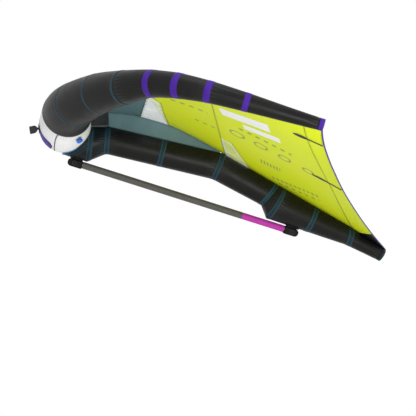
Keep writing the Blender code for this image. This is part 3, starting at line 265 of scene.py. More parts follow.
# %% Leading edge skin
EDGE = np.array(
    (
        (0.000, 0.000, 0.000, 1.000),
        (0.160, -0.007, 0.194, 0.948),
        (0.300, 0.020, 0.343, 0.856),
        (0.500, 0.107, 0.569, 0.729),
        (0.665, 0.204, 0.734, 0.597),
        (0.775, 0.291, 0.853, 0.483),
        (0.865, 0.396, 0.923, 0.441),
        (0.930, 0.524, 0.962, 0.377),
        (0.965, 0.677, 0.978, 0.322),
        (0.985, 0.839, 0.988, 0.258),
        (1.000, 1.000, 1.000, 0.205),
    )
) * (1.0, 1.008, 0.3565, 0.1212) + (0.0, -0.640, 0.1455, 0.0)
LAST = len(EDGE) - 1
PADDED_EDGE = np.vstack((EDGE[1] * (-1, 1, 1, 1), EDGE, 2 * EDGE[-1] - EDGE[-2]))
TIP_START = 9.869


def edge_curve(station):
    """Centre, radius and slope at port stations: a cubic through four neighbours, mixed with a straight run."""
    station = np.asarray(station, float)
    i = np.clip(np.floor(station).astype(int), 0, LAST - 1)
    t = (station - i)[..., None]
    a, b, c, d = (PADDED_EDGE[i + k] for k in range(4))
    curve = b + 0.5 * t * (c - a + t * (2 * a - 5 * b + 4 * c - d + t * (3 * (b - c) + d - a)))
    slope = 0.5 * (c - a + t * (2 * (2 * a - 5 * b + 4 * c - d) + 3 * t * (3 * (b - c) + d - a)))
    straight = 0.5 * eased(station, 2.6, 4.2)[..., None]
    curve = curve * (1 - straight) + (b + t * (c - b)) * straight
    return curve[..., :3], curve[..., 3], slope[..., :3]


def edge_skin(station, turn, lift=0.0):
    """Centre plus radius and lift times (cosine up and sine aft). Negative stations are starboard."""
    station, turn, lift = np.broadcast_arrays(*(np.asarray(x, float) for x in (station, turn, lift)))
    centre, radius, slope = edge_curve(np.abs(station))
    along = unit(slope)
    up = unit(UP - along[..., 2:] * along)
    spoke = np.cos(turn)[..., None] * up + np.sin(turn)[..., None] * np.cross(up, along)
    point = centre + (radius + lift)[..., None] * spoke
    return np.where((station < 0)[..., None], point * MIRROR, point)


print("half span of the tube's centre line:", float(EDGE[-1, 0]), "m")

# %% [markdown]
# ## The strut as a formula
# The centre strut is a second tube, sewn with kinks so that it gives the wing its profile. Each ring stands on
# a top and a bottom corner in the middle plane and is round between them. Between two seams the cloth swells
# a little where air pushes it out and nothing holds it.

# %% Strut skin
STRUT = np.array(
    (
        (0.010, 0.640, 0.000, 0.078),
        (0.053, 0.718, 0.0745, 0.084),
        (0.1025, 0.8235, 0.1205, 0.330),
        (0.451, 1.000, 0.444, 0.486),
        (0.638, 0.747, 0.6075, 0.300),
        (0.658, 0.720, 0.635, 0.092),
        (0.886, 0.412, 0.890, 0.069),
        (1.0115, 0.2063, 1.0030, -0.030),
    )
) * (1.610, 0.255, 1.610, 0.255) + (-0.612, 0.0, -0.612, 0.0)
STRUT_END = len(STRUT) - 1
STRUT_SWELL = 0.0025
KNEE_BACK, CROWN_BACK = float(STRUT[2, 0]), float(STRUT[3, 0])


def strut_skin(ring, turn, lift=0.0):
    """Point of the strut: middle of its two corners plus cosine of turn along them and sine across."""
    ring, turn, lift = np.broadcast_arrays(*(np.asarray(x, float) for x in (ring, turn, lift)))
    i = np.clip(np.floor(ring).astype(int), 0, STRUT_END - 1)
    t = ring - i
    row = STRUT[i] + t[..., None] * (STRUT[i + 1] - STRUT[i])
    zero, top, bottom = 0.0 * t, row[..., :2], row[..., 2:]
    centre = np.concatenate((zero[..., None], (top + bottom) / 2), -1)
    arm = np.concatenate((zero[..., None], (top - bottom) / 2), -1)
    size = np.linalg.norm(arm, axis=-1)
    swell = STRUT_SWELL * 4 * t * (1 - t) * np.sin(turn) ** 2
    reach = ((size + lift + swell) / size)[..., None] * arm
    across = np.stack((size + lift + swell, zero, zero), -1)
    return centre + np.cos(turn)[..., None] * reach + np.sin(turn)[..., None] * across


def strut_top(back):
    """Height of the strut's top at a distance back."""
    return np.interp(back, STRUT[:, 0], STRUT[:, 1])


def clear_of_edge(points):
    """How far points lie outside the middle of the leading edge, against many spheres along its centre line."""
    centre, radius, _ = edge_curve(shares(0.0, 1.6, 90))
    there = np.concatenate((np.abs(points[..., :1]), points[..., 1:]), -1)
    return (np.linalg.norm(there[..., None, :] - centre, axis=-1) - radius).min(-1)


def strut_start(turn):
    """Ring position where each lengthwise line of the strut leaves the leading edge."""
    rings = shares(0.0, 2.0, 321)
    outside = clear_of_edge(strut_skin(rings[:, None], turn)) > 0.0
    return rings[np.where(outside.all(0), 0, len(rings) - 1 - np.argmax(~outside[::-1], axis=0))]


print("strut from", float(STRUT[0, 0]), "to", float(STRUT[-1, 0]), "m back")

# %% [markdown]
# ## The canopy as a formula
# The canopy is one sheet, stretched between the strut and the leading edge. Cross lines run from the middle
# plane out to the tube: where each begins on the root and where it ends on the tube comes from a table. The
# trailing edge hangs below those lines, more and more towards the back, and it is cut a little hollow in plan,
# which keeps a free edge from flapping.

# %% Canopy surface
ROOT_FIRST, ROOT_LAST = -0.56464, 1.0092
CROSS_START = ((0.012, 0.45), (0.080, 3.15), (0.158, 4.72), (0.240, 5.0))
CROSS_LINES = (*CROSS_START, (0.436, 6.8), (0.900, 9.40), (1.0, 9.93))
SAG = ((0.0, 0.0), (0.17, 0.40), (0.38, 0.76), (0.58, 0.95), (0.78, 1.0), (0.90, 0.84), (0.965, 0.5), (1.0, 0.0))
HOLLOW = ((0.0, 0.0), (0.25, 0.65), (0.58, 1.0), (0.80, 0.45), (1.0, 0.0))
SAG_DEPTH, HOLLOW_DEPTH = 0.055, 0.017
ROOT = ((0.0, 0.0), (0.17, 0.58), (0.365, 0.96), (0.56, 1.0), (0.745, 0.74), (1.0, 0.16))
ROOT_RISE, ROOT_REST = 0.062, 0.16
CLOTH_LIFT = 0.0012


def attach_turn(station):
    """Angle where the canopy is sewn to the tube: 38 degrees behind the top at the nose, 78 at the tip."""
    return np.radians(38.0) + station / LAST * np.radians(40.0)


def attach_point(station):
    """Point where the canopy is sewn to the tube."""
    return edge_skin(station, attach_turn(station), CLOTH_LIFT)


def root_height(back):
    """Height of the canopy's middle line: a crowned curve to the strut's crown, then the strut's top."""
    _, start_back, start_up = attach_point(np.array(0.0))
    share = np.clip((back - start_back) / (CROWN_BACK - start_back), 0.0, 1.0)
    base = start_up + share * (STRUT[3, 1] + CLOTH_LIFT - start_up)
    ahead = base + ROOT_RISE * (smooth_table(ROOT, share) - ROOT_REST * share)
    return np.where(back < CROWN_BACK, ahead, strut_top(back) + CLOTH_LIFT)


def canopy(across, line):
    """Point of the port canopy: root plus a share of the way to the tube, less the edge's sag and hollow."""
    across, line = np.broadcast_arrays(np.asarray(across, float), np.asarray(line, float))
    back = ROOT_FIRST + line * (ROOT_LAST - ROOT_FIRST)
    root = np.stack((np.zeros_like(back), back, root_height(back)), -1)
    edge = attach_point(smooth_table(CROSS_LINES, line))
    sag = smooth_table(SAG, across) * line**3 * SAG_DEPTH
    hollow = smooth_table(HOLLOW, across) * line**6 * HOLLOW_DEPTH
    return root + across[..., None] * (edge - root) - np.stack((0.0 * sag, hollow, sag), -1)


def canopy_normal(across, line):
    """Upward normal of the port canopy, from the cross product of two short steps on it."""
    a, b = np.maximum(across - 0.01, 0.0), np.minimum(across + 0.01, 1.0)
    c, d = np.maximum(line - 0.01, 0.012), np.minimum(line + 0.01, 1.0)
    return unit(np.cross(canopy(b, line) - canopy(a, line), canopy(across, d) - canopy(across, c)))


def under_canopy(across, line, drop):
    """Point of the canopy moved down its normal."""
    return canopy(across, line) - drop * canopy_normal(across, line)


print("trailing edge at the tip:", np.round(canopy(1.0, 1.0), 3))

# %% [markdown]
# ## Writing materials
# Every finish starts from one Principled shader. What a node gives is wrapped so that it adds and multiplies
# like a number, and each step adds one node, so a pattern reads like a formula. Lengths are in metres.

# %% Node helpers


class Result:
    """What a node gives, which adds, takes away, multiplies and divides like a number."""

    def __init__(self, socket):
        self.socket, self.tree = socket, socket.id_data

    def maths(self, operation, other=0.0):
        """One step of arithmetic."""
        node = self.tree.nodes.new("ShaderNodeMath")
        node.operation = operation
        feed(node.inputs[0], self)
        feed(node.inputs[1], other)
        return Result(node.outputs[0])

    def __add__(self, other):
        return self.maths("ADD", other)

    def __sub__(self, other):
        return self.maths("SUBTRACT", other)

    def __mul__(self, other):
        return self.maths("MULTIPLY", other)

    def __truediv__(self, other):
        return self.maths("DIVIDE", other)

    def __abs__(self):
        return self.maths("ABSOLUTE")


def feed(socket, value):
    """Link a result into a socket, or set a plain value on it."""
    if isinstance(value, Result):
        value.tree.links.new(value.socket, socket)
    else:
        socket.default_value = value


def add_node(tree, kind, **inputs):
    """Node of a kind, with its inputs fed by name."""
    node = tree.nodes.new("ShaderNode" + kind)
    for name, value in inputs.items():
        feed(node.inputs[name.replace("_", " ")], value)
    return node


def new_finish(name, colour, roughness, **sockets):
    """Material with a Principled shader at a plain colour and roughness."""
    material = bpy.data.materials.new(name)
    material.use_nodes = True
    material.diffuse_color = (*colour, 1.0)
    inputs = material.node_tree.nodes["Principled BSDF"].inputs
    for socket, value in {"Base_Color": (*colour, 1.0), "Roughness": roughness, **sockets}.items():
        inputs[socket.replace("_", " ")].default_value = value
    return material


def finished(material, colour, rough, *bumps):
    """Feed a material's colour, roughness and bumps, each a height, a distance and a strength, over the last."""
    inputs = material.node_tree.nodes["Principled BSDF"].inputs
    feed(inputs["Base Color"], colour)
    feed(inputs["Roughness"], rough)
    before = {}
    for height, distance, strength in bumps:
        node = add_node(material.node_tree, "Bump", Strength=strength, Distance=distance, Height=height, **before)
        before = {"Normal": Result(node.outputs[0])}
    feed(inputs["Normal"], before["Normal"])
    return material


def ranged(value, low, high, to_low=0.0, to_high=1.0):
    """Value carried from one range to another with soft ends, and held there."""
    given = {"Value": value, "From_Min": low, "From_Max": high, "To_Min": to_low, "To_Max": to_high}
    node = add_node(value.tree, "MapRange", **given)
    node.interpolation_type = "SMOOTHSTEP"
    return Result(node.outputs[0])


def below(value, low, high):
    """1 below a range and 0 above it."""
    return ranged(value, low, high, 1.0, 0.0)


def spread(value, to_low=0.0, to_high=1.0):
    """Noise, which mostly lies between 0.3 and 0.7, carried to a whole range."""
    return ranged(value, 0.3, 0.7, to_low, to_high)


def mixed(share, first, second):
    """Colour between two colours."""
    node = share.tree.nodes.new("ShaderNodeMix")
    node.data_type = "RGBA"
    feed(node.inputs[0], share)
    for socket, colour in ((node.inputs[6], first), (node.inputs[7], second)):
        feed(socket, colour if isinstance(colour, Result) else (*colour, 1.0))
    return Result(node.outputs[2])


def tone(colour, times, more=0.0):
    """Colour made darker or paler, at most white."""
    return tuple(min(1.0, times * part + more) for part in colour)


def placed(material):
    """Where a point is on its object."""
    return Result(material.node_tree.nodes.new("ShaderNodeTexCoord").outputs["Object"])


def laid(material):
    """Where a point is on its cloth: distance across and along, from the lay map."""
    node = material.node_tree.nodes.new("ShaderNodeUVMap")
    node.uv_map = "lay"
    return parts_of(Result(node.outputs[0]))[:2]


def parts_of(vector):
    """The three numbers of a vector."""
    return [Result(socket) for socket in add_node(vector.tree, "SeparateXYZ", Vector=vector).outputs]


def border_of(material):
    """Distance from the nearest sewn edge."""
    node = material.node_tree.nodes.new("ShaderNodeAttribute")
    node.attribute_name = "border"
    return Result(node.outputs["Fac"])


def noise(vector, scale, detail=3.0):
    """Soft random pattern between 0 and 1; scale counts its blobs in a metre."""
    return Result(add_node(vector.tree, "TexNoise", Vector=vector, Scale=scale, Detail=detail).outputs[0])


def lines(value, pitch, width):
    """1 on thin lines a pitch apart and 0 between them."""
    away = abs((value / pitch).maths("FRACT") - 0.5) * pitch
    return below(away, width * 0.35, width * 0.65)


def dashes(value, pitch):
    """1 on the longer part of each pitch, as thread shows between two needle holes."""
    return ranged((value / pitch).maths("FRACT"), 0.3, 0.36)


def sine(value, pitch):
    """Sine that repeats after a pitch."""
    return (value * (2 * math.pi / pitch)).maths("SINE")


def weave(u, v, pitch):
    """Height of a plain weave: the product of two sines, one for each set of threads."""
    return sine(u, pitch) * sine(v, pitch)


print("node helpers ready")

# %% [markdown]
# ## Sleeve cloth
# The tubes are sewn from a stiff polyester canvas. Close up it shows a plain weave; from a step away it shows
# fine lengthwise pinstripes, a faint mottle, and fold marks beside every seam where the needle gathers it.
# The same recipe serves black, navy and white cloth, so it is a function with a few colours.

# %% Sleeve cloth
FOLD_PITCH, CANVAS_THREAD = 0.0125, 0.0011


def sleeve_cloth(name, colour, stripe, pitch=0.0115, pin_share=0.7):
    """Canvas with pinstripes along the tube, mottled, folded near its seams, with a double row of stitches."""
    material = new_finish(name, colour, 0.42, Specular_IOR_Level=0.15)
    (u, v), spot, border = laid(material), placed(material), border_of(material)
    mottle = noise(spot, 9.0)
    cloth = mixed(spread(mottle, 0.0, 0.5), colour, tone(colour, 1.35, 0.002))
    cloth = mixed(lines(u, pitch, 0.0016) * spread(noise(spot, 160.0), 0.35, pin_share), cloth, stripe)
    folds, gathered = sine(u, FOLD_PITCH), below(border, 0.004, 0.065)
    cloth = mixed(ranged(folds, -0.6, 1.0) * gathered, cloth, stripe)
    stitch = lines(border, 0.0045, 0.0008) * dashes(u, 0.0042) * below(border, 0.0100, 0.0108)
    cloth = mixed(stitch * 0.6, cloth, stripe)
    gather = (folds * gathered, 0.0008, 0.6)
    slack = (noise(spot, 14.0, 2.0), 0.003, 0.3)
    threads = (weave(u, v, CANVAS_THREAD) + stitch, 0.00006, 0.5)
    return finished(material, cloth, spread(mottle, 0.35, 0.48), gather, slack, threads)


black_cloth = sleeve_cloth("black_sleeve", (0.0065, 0.0063, 0.0060), (0.020, 0.020, 0.020))
navy_cloth = sleeve_cloth("nose_sleeve", (0.0062, 0.0066, 0.0072), (0.013, 0.026, 0.034))
white_cloth = sleeve_cloth("white_sleeve", (0.88, 0.88, 0.88), (0.76, 0.77, 0.79), pitch=0.030, pin_share=0.40)
cap_cloth = sleeve_cloth("tail_cloth", (0.0045, 0.0052, 0.0062), (0.014, 0.018, 0.022))
print("sleeve cloths:", black_cloth.name, navy_cloth.name, white_cloth.name, cap_cloth.name)

# %% [markdown]
# ## Tapes
# Every sleeve seam is covered by a woven tape. Tape is a tight rib weave with a zigzag stitch near each edge,
# glossier than canvas. On the strut two coloured lines run along a dark tape.

# %% Tape finishes
TAPE_RIB, ZIGZAG = 0.0016, 0.0022


def tape_finish(name, colour, edge=None, edge_from=0.0):
    """Woven tape with ribs across it and stitches beside its edges; an edge colour starts at a distance in."""
    material = new_finish(name, colour, 0.52, Specular_IOR_Level=0.14)
    (u, _), border = laid(material), border_of(material)
    shade = spread(noise(placed(material), 35.0), 0.0, 0.5)
    cloth = mixed(shade, colour, tone(colour, 1.45, 0.004))
    if edge is not None:
        on_edge = ranged(border, edge_from, edge_from + 0.0006) * below(border, 0.0064, 0.0070)
        cloth = mixed(on_edge, cloth, edge)
    stitch = below(abs(border - 0.0016 - u.maths("PINGPONG", ZIGZAG)), 0.0003, 0.0006)
    cloth = mixed(stitch * 0.45, cloth, tone(colour, 0.5))
    rough = ranged(shade, 0.0, 0.5, 0.46, 0.62)
    return finished(material, cloth, rough, (sine(u, TAPE_RIB), 0.00010, 0.6), (stitch, 0.00025, 0.7))


purple_tape = tape_finish("purple_tape", (0.054, 0.013, 0.255))
teal_tape = tape_finish("teal_tape", (0.016, 0.045, 0.062))
strut_tape = tape_finish("strut_tape", (0.010, 0.024, 0.032), edge=(0.017, 0.060, 0.085), edge_from=0.0004)
blue_tape = tape_finish("blue_tape", (0.045, 0.250, 0.520))
grey_tape = tape_finish("grey_tape", (0.115, 0.125, 0.140))
edge_tape = tape_finish("edge_tape", (0.070, 0.055, 0.260))
lime_tape = tape_finish("lime_tape", (0.240, 0.310, 0.060))
slate_tape = tape_finish("slate_tape", (0.060, 0.105, 0.115))
print("tapes:", purple_tape.name, teal_tape.name, strut_tape.name, blue_tape.name, lime_tape.name)

# %% [markdown]
# ## Leading edge sleeves
# Each sleeve is a length of the tube's skin between two stations. A seam draws the cloth in by about a
# millimetre, so the radius dips at each end. The sleeves are stretched sheets that the bladder holds out, and
# each is noted with the size of its flat cut: length along the tube by the distance round it.

# %% Notes on the cloth
CUTS, TRIMS = {}, {}


def cut_from(piece, flat, area, rests_on):
    """Note the flat size and the area that a sheet was cut to, and what it rests on."""
    CUTS[piece.name] = piece, flat, area, rests_on
    print(piece.name, "cut", round(flat[0], 3), "by", round(flat[1], 3), "m, area", round(area, 4))


def sewn_on(piece, sheet_name):
    """Note a tape as a piece that is sewn on a sheet."""
    TRIMS.setdefault(sheet_name, []).append(piece)


# %% Leading edge sleeves
ROUND, SLEEVE_WALL = 96, 0.0005


def sleeve_mesh(name, skin, places, dip, fade, across=None):
    """Length of a tube's skin, drawn in at both ends by a dip that fades; with its runs along and across."""
    plain = skin(places, turns(ROUND, 1))
    along = run_along(plain, 0)
    across = run_along(plain, 1) if across is None else across
    ends = to_nearer_end(along)
    points = skin(places, turns(ROUND, 1), -dip * np.exp(-ends / fade))
    return thicken(tube_mesh(name, points, across, along, ends), SLEEVE_WALL), along, across


def edge_sleeve(name, first, last, material, node):
    """Sleeve between two stations of the leading edge."""
    rows = int(max(14, 26 * abs(last - first)))
    stations = shares(first, last, rows)
    radius = edge_curve(np.abs(stations))[1]
    across = turns(ROUND, 1) * radius.mean() + np.zeros((rows, 1))
    piece, along, _ = sleeve_mesh(name, edge_skin, stations[:, None], 0.0011, 0.007, across)
    dress(piece, material, "wing", node)
    girths = 2 * math.pi * radius
    flat = float(girths.max()), float(along[-1].mean())
    cut_from(piece, flat, float(np.trapz(girths, along.mean(1))), ["cloth_leading_edge_bladder"])


edge_sleeve("cloth_centre_sleeve", -1.0, 1.0, white_cloth, "leading_edge_centre_sleeve")
ENDS = (1.0, 2.0, 4.0, 7.0, TIP_START)
for label, flip in SIDES.items():
    for number, (first, last) in enumerate(zip(ENDS, ENDS[1:]), start=1):
        node = f"leading_edge_{label}_sleeve_{number}"
        edge_sleeve(f"cloth_{label}_sleeve_{number}", flip[0] * first, flip[0] * last, black_cloth, node)

# %% [markdown]
# ## Bladders
# Inside the sleeves are the skins that hold the air. Nobody sees them while the wing is whole, yet a part that
# can be opened should have them: thin milky film, slightly creased.

# %% Film
RIM_REACH = 0.009


def film(name, colour, alpha, rim=None):
    """Milky plastic film: faint clouding, small creases, a constant see-through share and a sewn rim."""
    material = new_finish(name, colour, 0.22, Alpha=alpha, Specular_IOR_Level=0.5)
    cloud = noise(placed(material), 7.0)
    tint = mixed(spread(cloud), colour, tone(colour, 1.12, 0.02))
    seam = below(border_of(material), RIM_REACH, RIM_REACH + 0.001)
    tint = mixed(seam * (0.95 if rim else 0.55), tint, rim or tone(colour, 0.5))
    return finished(material, tint, spread(cloud, 0.16, 0.34), (noise(placed(material), 22.0, 5.0), 0.003, 0.35))


bladder_film = film("bladder_film", (0.62, 0.66, 0.66), 1.0)
window_film = film("window_film", (0.78, 0.82, 0.81), 0.42)
rear_film = film("rear_window_film", (0.78, 0.86, 0.30), 0.60, rim=(0.90, 0.92, 0.92))
print("films:", bladder_film.name, window_film.name, rear_film.name)

# %% Bladders
stations = shares(-TIP_START + 0.05, TIP_START - 0.05, 240)
rounding = 1.0 - np.clip((np.abs(stations) - TIP_START + 0.35) / 0.3, 0.0, 1.0) ** 4
inset = -0.003 - (1 - rounding) * 0.012
points = edge_skin(stations[:, None], turns(40), inset[:, None])
closed_tube("cloth_leading_edge_bladder", points, bladder_film, "leading_edge_bladder")
points = strut_skin(shares(1.35, 6.85, 120)[:, None], turns(40), -0.004)
closed_tube("cloth_strut_bladder", points, bladder_film, "strut_bladder")
low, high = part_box("inflation_hose")
run = shares(low.y, high.y, 60)
hose_radius = (0.0074 + 0.0006 * np.sin(shares(0, 24 * math.pi, 60)))[:, None]
hose_middle = np.stack((0 * run, run, 0 * run + (low.z + high.z) / 2), -1)
points = swept(hose_middle, hose_radius * OUT, hose_radius * UP, 24)
closed_tube("ribbed_hose", points, bladder_film, "inflation_hose")
print("bladders and hose made")

# %% [markdown]
# ## Tape bands
# A band is a short collar on a tube: its profile rises from the cloth, runs flat and goes back down, so light
# catches its two edges. One function makes a collar on either tube, because both tubes are given as a skin
# function of place, turn and lift.

# %% Bands on the tubes


def collar(name, skin, span, thick, material, sheet_name):
    """Band round a tube between two places, closed under the cloth; its span is edge, middle and edge."""
    first, centre, last = span
    turn = turns(ROUND, 1)
    near, far = 0.88 * first + 0.12 * centre, 0.88 * last + 0.12 * centre
    places = np.array((first, first, near, centre, far, last, last, first))
    lifts = np.array((-0.0014, 0.0001, thick, thick, thick, 0.0001, -0.0014, -0.0014))
    points = skin(places[:, None], turn, lifts[:, None])
    flat = run_along(skin(places[:6, None], turn, 0.0), 0)
    along = np.concatenate((flat, flat[-1:], flat[:1]))
    across = turn * float(np.linalg.norm(points[3, 0] - points[3, ROUND // 2])) / 2 + np.zeros((8, 1))
    band = tube_mesh(name, points, across, along, np.minimum(along, flat[-1:] - along))
    sewn_on(dress(band, material, "wing"), sheet_name)


def edge_span(station, width):
    """Edge, middle and edge of a band of a width, as stations."""
    slope = float(np.linalg.norm(edge_curve(np.array(abs(station)))[2]))
    return station - width / slope / 2, station, station + width / slope / 2


EDGE_BANDS = (
    (1.0, 0.007, grey_tape, 1),
    (2.0, 0.012, teal_tape, 2),
    (2.96, 0.012, teal_tape, 2),
    (3.92, 0.012, teal_tape, 2),
    (5.12, 0.030, purple_tape, 3),
    (6.06, 0.030, purple_tape, 3),
    (7.0, 0.028, purple_tape, 4),
    (8.0, 0.026, purple_tape, 4),
    (9.985, 0.005, edge_tape, 4),
)
for label, flip in SIDES.items():
    for number, (station, width, tape, sleeve) in enumerate(EDGE_BANDS, start=1):
        span = edge_span(flip[0] * station, width)
        collar(f"{label}_edge_band_{number}", edge_skin, span, 0.0010, tape, f"cloth_{label}_sleeve_{sleeve}")
print("leading edge bands:", 2 * len(EDGE_BANDS))

# %% [markdown]
# ## Tip caps
# The tube ends in a small cap of purple cloth, sewn flat across the end with a rim that is only just rounded.
# The rim is the last bit of a steep curve: one minus a high power of the way along, under a square root.

# %% Tip caps
RIM = 0.0035


def cap_points(skin, first, last, rows):
    """Rings of a cap, closer together towards its end, where the rim draws in."""
    sweep = shares(0.0, 1.0, rows)
    drop = RIM * (1 - np.sqrt(np.clip(1 - (0.995 * sweep) ** 24, 0.0, 1.0)))
    places = first + (last - first) * np.sin(sweep * math.pi / 2)
    return skin(places[:, None], turns(64), (0.0004 - drop)[:, None])


for label, flip in SIDES.items():
    points = cap_points(edge_skin, flip[0] * (TIP_START + 0.001), flip[0] * LAST, 24)
    closed_tube(f"cloth_{label}_tip_cap", points, purple_tape, f"{label}_tip_cap")
print("tip caps made")

# %% [markdown]
# ## Strut sleeves
# The strut is sewn in the same way, from canvas lengths between kinked rings. Its first length starts where the
# strut leaves the leading edge, found line by line, so the cloth ends on the tube instead of inside it.

# %% Strut sleeves
TAIL_CAP = 6.90


def strut_sleeve(part, first, last, material):
    """Sleeve of the strut between two ring positions; the first may differ from line to line."""
    places = first + shares(0.0, 1.0, 56)[:, None] * (last - first) + 0.0 * turns(ROUND, 1)
    piece, along, across = sleeve_mesh(f"cloth_strut_{part}", strut_skin, places, 0.0009, 0.006)
    dress(piece, material, "wing", f"strut_{part}_sleeve")
    girths = across[:, -1]
    flat = float(girths.max()), float(along[-1].max())
    area = min(float(np.trapz(girths, along.mean(1))), flat[0] * flat[1])
    cut_from(piece, flat, area, ["cloth_strut_bladder"])


strut_sleeve("nose", strut_start(turns(ROUND, 1)), 2.0, navy_cloth)
STRUT_SLEEVES = (("front", 2.0, 3.0), ("middle", 3.0, 5.0), ("rear", 5.0, 6.0), ("tail", 6.0, TAIL_CAP))
for part, first, last in STRUT_SLEEVES:
    strut_sleeve(part, first, last, black_cloth)

# %% Strut bands and tail cap
STRUT_BANDS = (
    (1.08, "nose"),
    (2.0, "nose"),
    (2.49, "front"),
    (3.0, "front"),
    (3.97, "middle"),
    (5.0, "middle"),
    (5.49, "rear"),
    (6.05, "tail"),
)
STRUT_BAND_WIDTH = 0.026


def strut_span(ring, width):
    """Edge, middle and edge of a band of a width, each half measured along its own side of a kink."""
    before, after = max(math.ceil(ring) - 1, 0), min(int(ring), STRUT_END - 1)
    shorter, longer = (float(np.linalg.norm(STRUT[i + 1] - STRUT[i])) / math.sqrt(2) for i in (before, after))
    return ring - width / shorter / 2, ring, ring + width / longer / 2


for number, (ring, sleeve) in enumerate(STRUT_BANDS, start=1):
    span = strut_span(ring, STRUT_BAND_WIDTH)
    collar(f"strut_band_{number}", strut_skin, span, 0.0009, strut_tape, f"cloth_strut_{sleeve}")
points = cap_points(strut_skin, TAIL_CAP, STRUT_END, 20)
closed_tube("cloth_strut_tail_cap", points, cap_cloth, "strut_tail_cap", slot="moulded_black")
collar("strut_end_tape", strut_skin, (6.957, 6.972, 6.987), 0.0012, teal_tape, "cloth_strut_tail")
print("strut bands:", len(STRUT_BANDS))

# %% [markdown]
# ## Canopy cloth
# The canopy is light ripstop: every few millimetres a thicker thread crosses the weave and stops a tear. The
# dye varies a little, seams pull short creases, and plain printed shapes lie on the bright panels. The print
# is placed on the wing in plan, so it is the same on both sides of the middle.

# %% Canopy finishes
SOFTNESS = 0.0008
RIPSTOP_GRID, RIPSTOP_THREAD = 0.0055, 0.0008
PALE_PRINT, DARK_PRINT = (0.92, 0.93, 0.92), (0.17, 0.20, 0.13)


def within(value, half):
    """1 where a distance is under half a width, with the soft edge of print."""
    return below(abs(value), half - SOFTNESS, half + SOFTNESS)


def bar(x, y, ends, width, pitch=None):
    """1 inside a bar between two points in plan; a pitch cuts it into ticks half a pitch long."""
    (ax, ay), (bx, by) = ends
    run = math.hypot(bx - ax, by - ay)
    ux, uy = (bx - ax) / run, (by - ay) / run
    dx, dy = x - ax, y - ay
    along = dx * ux + dy * uy
    inside = within(along - run / 2, run / 2) * within(dx * -uy - dy * -ux, width / 2)
    return inside if pitch is None else inside * lines(along, pitch, pitch / 2)


def hoop(x, y, centre, radius, width):
    """1 on a ring in plan round a centre."""
    dx, dy = x - centre[0], y - centre[1]
    return within((dx * dx + dy * dy).maths("SQRT") - radius, width / 2)


def ripstop(name, colour, deep, bars=(), rings=(), ticks=()):
    """Ripstop cloth in a colour, with pale bars and darker rings and ticks placed in plan."""
    material = new_finish(name, colour, 0.45, Specular_IOR_Level=0.12)
    (u, v), spot, border = laid(material), placed(material), border_of(material)
    x, y, _ = parts_of(spot)
    x = abs(x)
    cloud = noise(spot, 3.2, 2.0)
    cloth = mixed(ranged(cloud, 0.25, 0.75), colour, deep)
    grid = lines(u, RIPSTOP_GRID, 0.0006).maths("MAXIMUM", lines(v, RIPSTOP_GRID, 0.0006))
    cloth = mixed(grid * 0.22, cloth, tone(colour, 0.6))
    for shape in bars:
        cloth = mixed(bar(x, y, *shape), cloth, PALE_PRINT)
    for mark in [hoop(x, y, *ring) for ring in rings] + [bar(x, y, *tick) for tick in ticks]:
        cloth = mixed(mark * 0.70, cloth, DARK_PRINT)
    hem = below(border, 0.0075, 0.0082)
    cloth = mixed(hem * 0.16, cloth, tone(colour, 0.45))
    stitch = lines(border, 0.0036, 0.0007) * dashes(u + v, 0.0036) * hem
    cloth = mixed(stitch * 0.6, cloth, tone(colour, 0.25, 0.01))
    pull = (noise(spot, 26.0, 4.0) * ranged(border, 0.005, 0.10, 1.0, 0.12), 0.006, 0.5)
    threads = (grid + stitch, 0.00012, 0.7)
    fine = (weave(u, v, RIPSTOP_THREAD), 0.00004, 0.5)
    return finished(material, cloth, ranged(cloud, 0.25, 0.75, 0.38, 0.52), pull, threads, fine)


BARS = (
    (((0.660, -0.02), (0.760, 0.19)), 0.075),
    (((0.615, 0.10), (0.690, 0.26)), 0.050),
)
RINGS = [((0.46 + 0.02 * k, 0.10 + 0.115 * k), 0.034 - 0.003 * k, 0.010) for k in range(4)]
TICKS = (
    (((0.555, 0.08), (0.600, 0.34)), 0.020, 0.040),
    (((0.480, -0.24), (0.540, -0.06)), 0.018, 0.044),
    (((0.335, -0.10), (0.375, 0.02)), 0.016, 0.040),
    (((0.085, 0.36), (0.230, 0.58)), 0.030, 0.024),
    (((0.045, 0.40), (0.160, 0.60)), 0.018, 0.036),
    (((0.255, 0.26), (0.285, 0.36)), 0.050, 0.016),
)
lime_cloth = ripstop("lime_canopy", (0.760, 0.860, 0.020), (0.700, 0.820, 0.012), BARS, RINGS, TICKS)
slate_cloth = ripstop("slate_canopy", (0.112, 0.200, 0.212), (0.098, 0.178, 0.192))
print("canopy cloths:", lime_cloth.name, slate_cloth.name)

# %% [markdown]
# ## Canopy panels
# All panels are cut from the one canopy surface, so light runs over them without a break, as on a sheet under
# tension. Each panel is a grid of shares; the rear panel leaves out the cells where its window sits, and the
# window takes exactly those cells. Every point also learns how far it is from the nearest seam.

# %% Sheets


def rim_distance(points, faces):
    """Distance of each point from the open rim, which is the edges that only one face uses."""
    edges = np.sort(np.concatenate((faces[:, :2], faces[:, 1:3], faces[:, 2:], faces[:, [3, 0]])), axis=1)
    edges, uses = np.unique(edges, axis=0, return_counts=True)
    flat = points.reshape(-1, 3)
    rim = flat[edges[uses == 1]].mean(1)
    square = (flat**2).sum(1)[:, None] + (rim**2).sum(1) - 2 * flat @ rim.T
    return np.sqrt(np.maximum(square.min(1), 0.0))


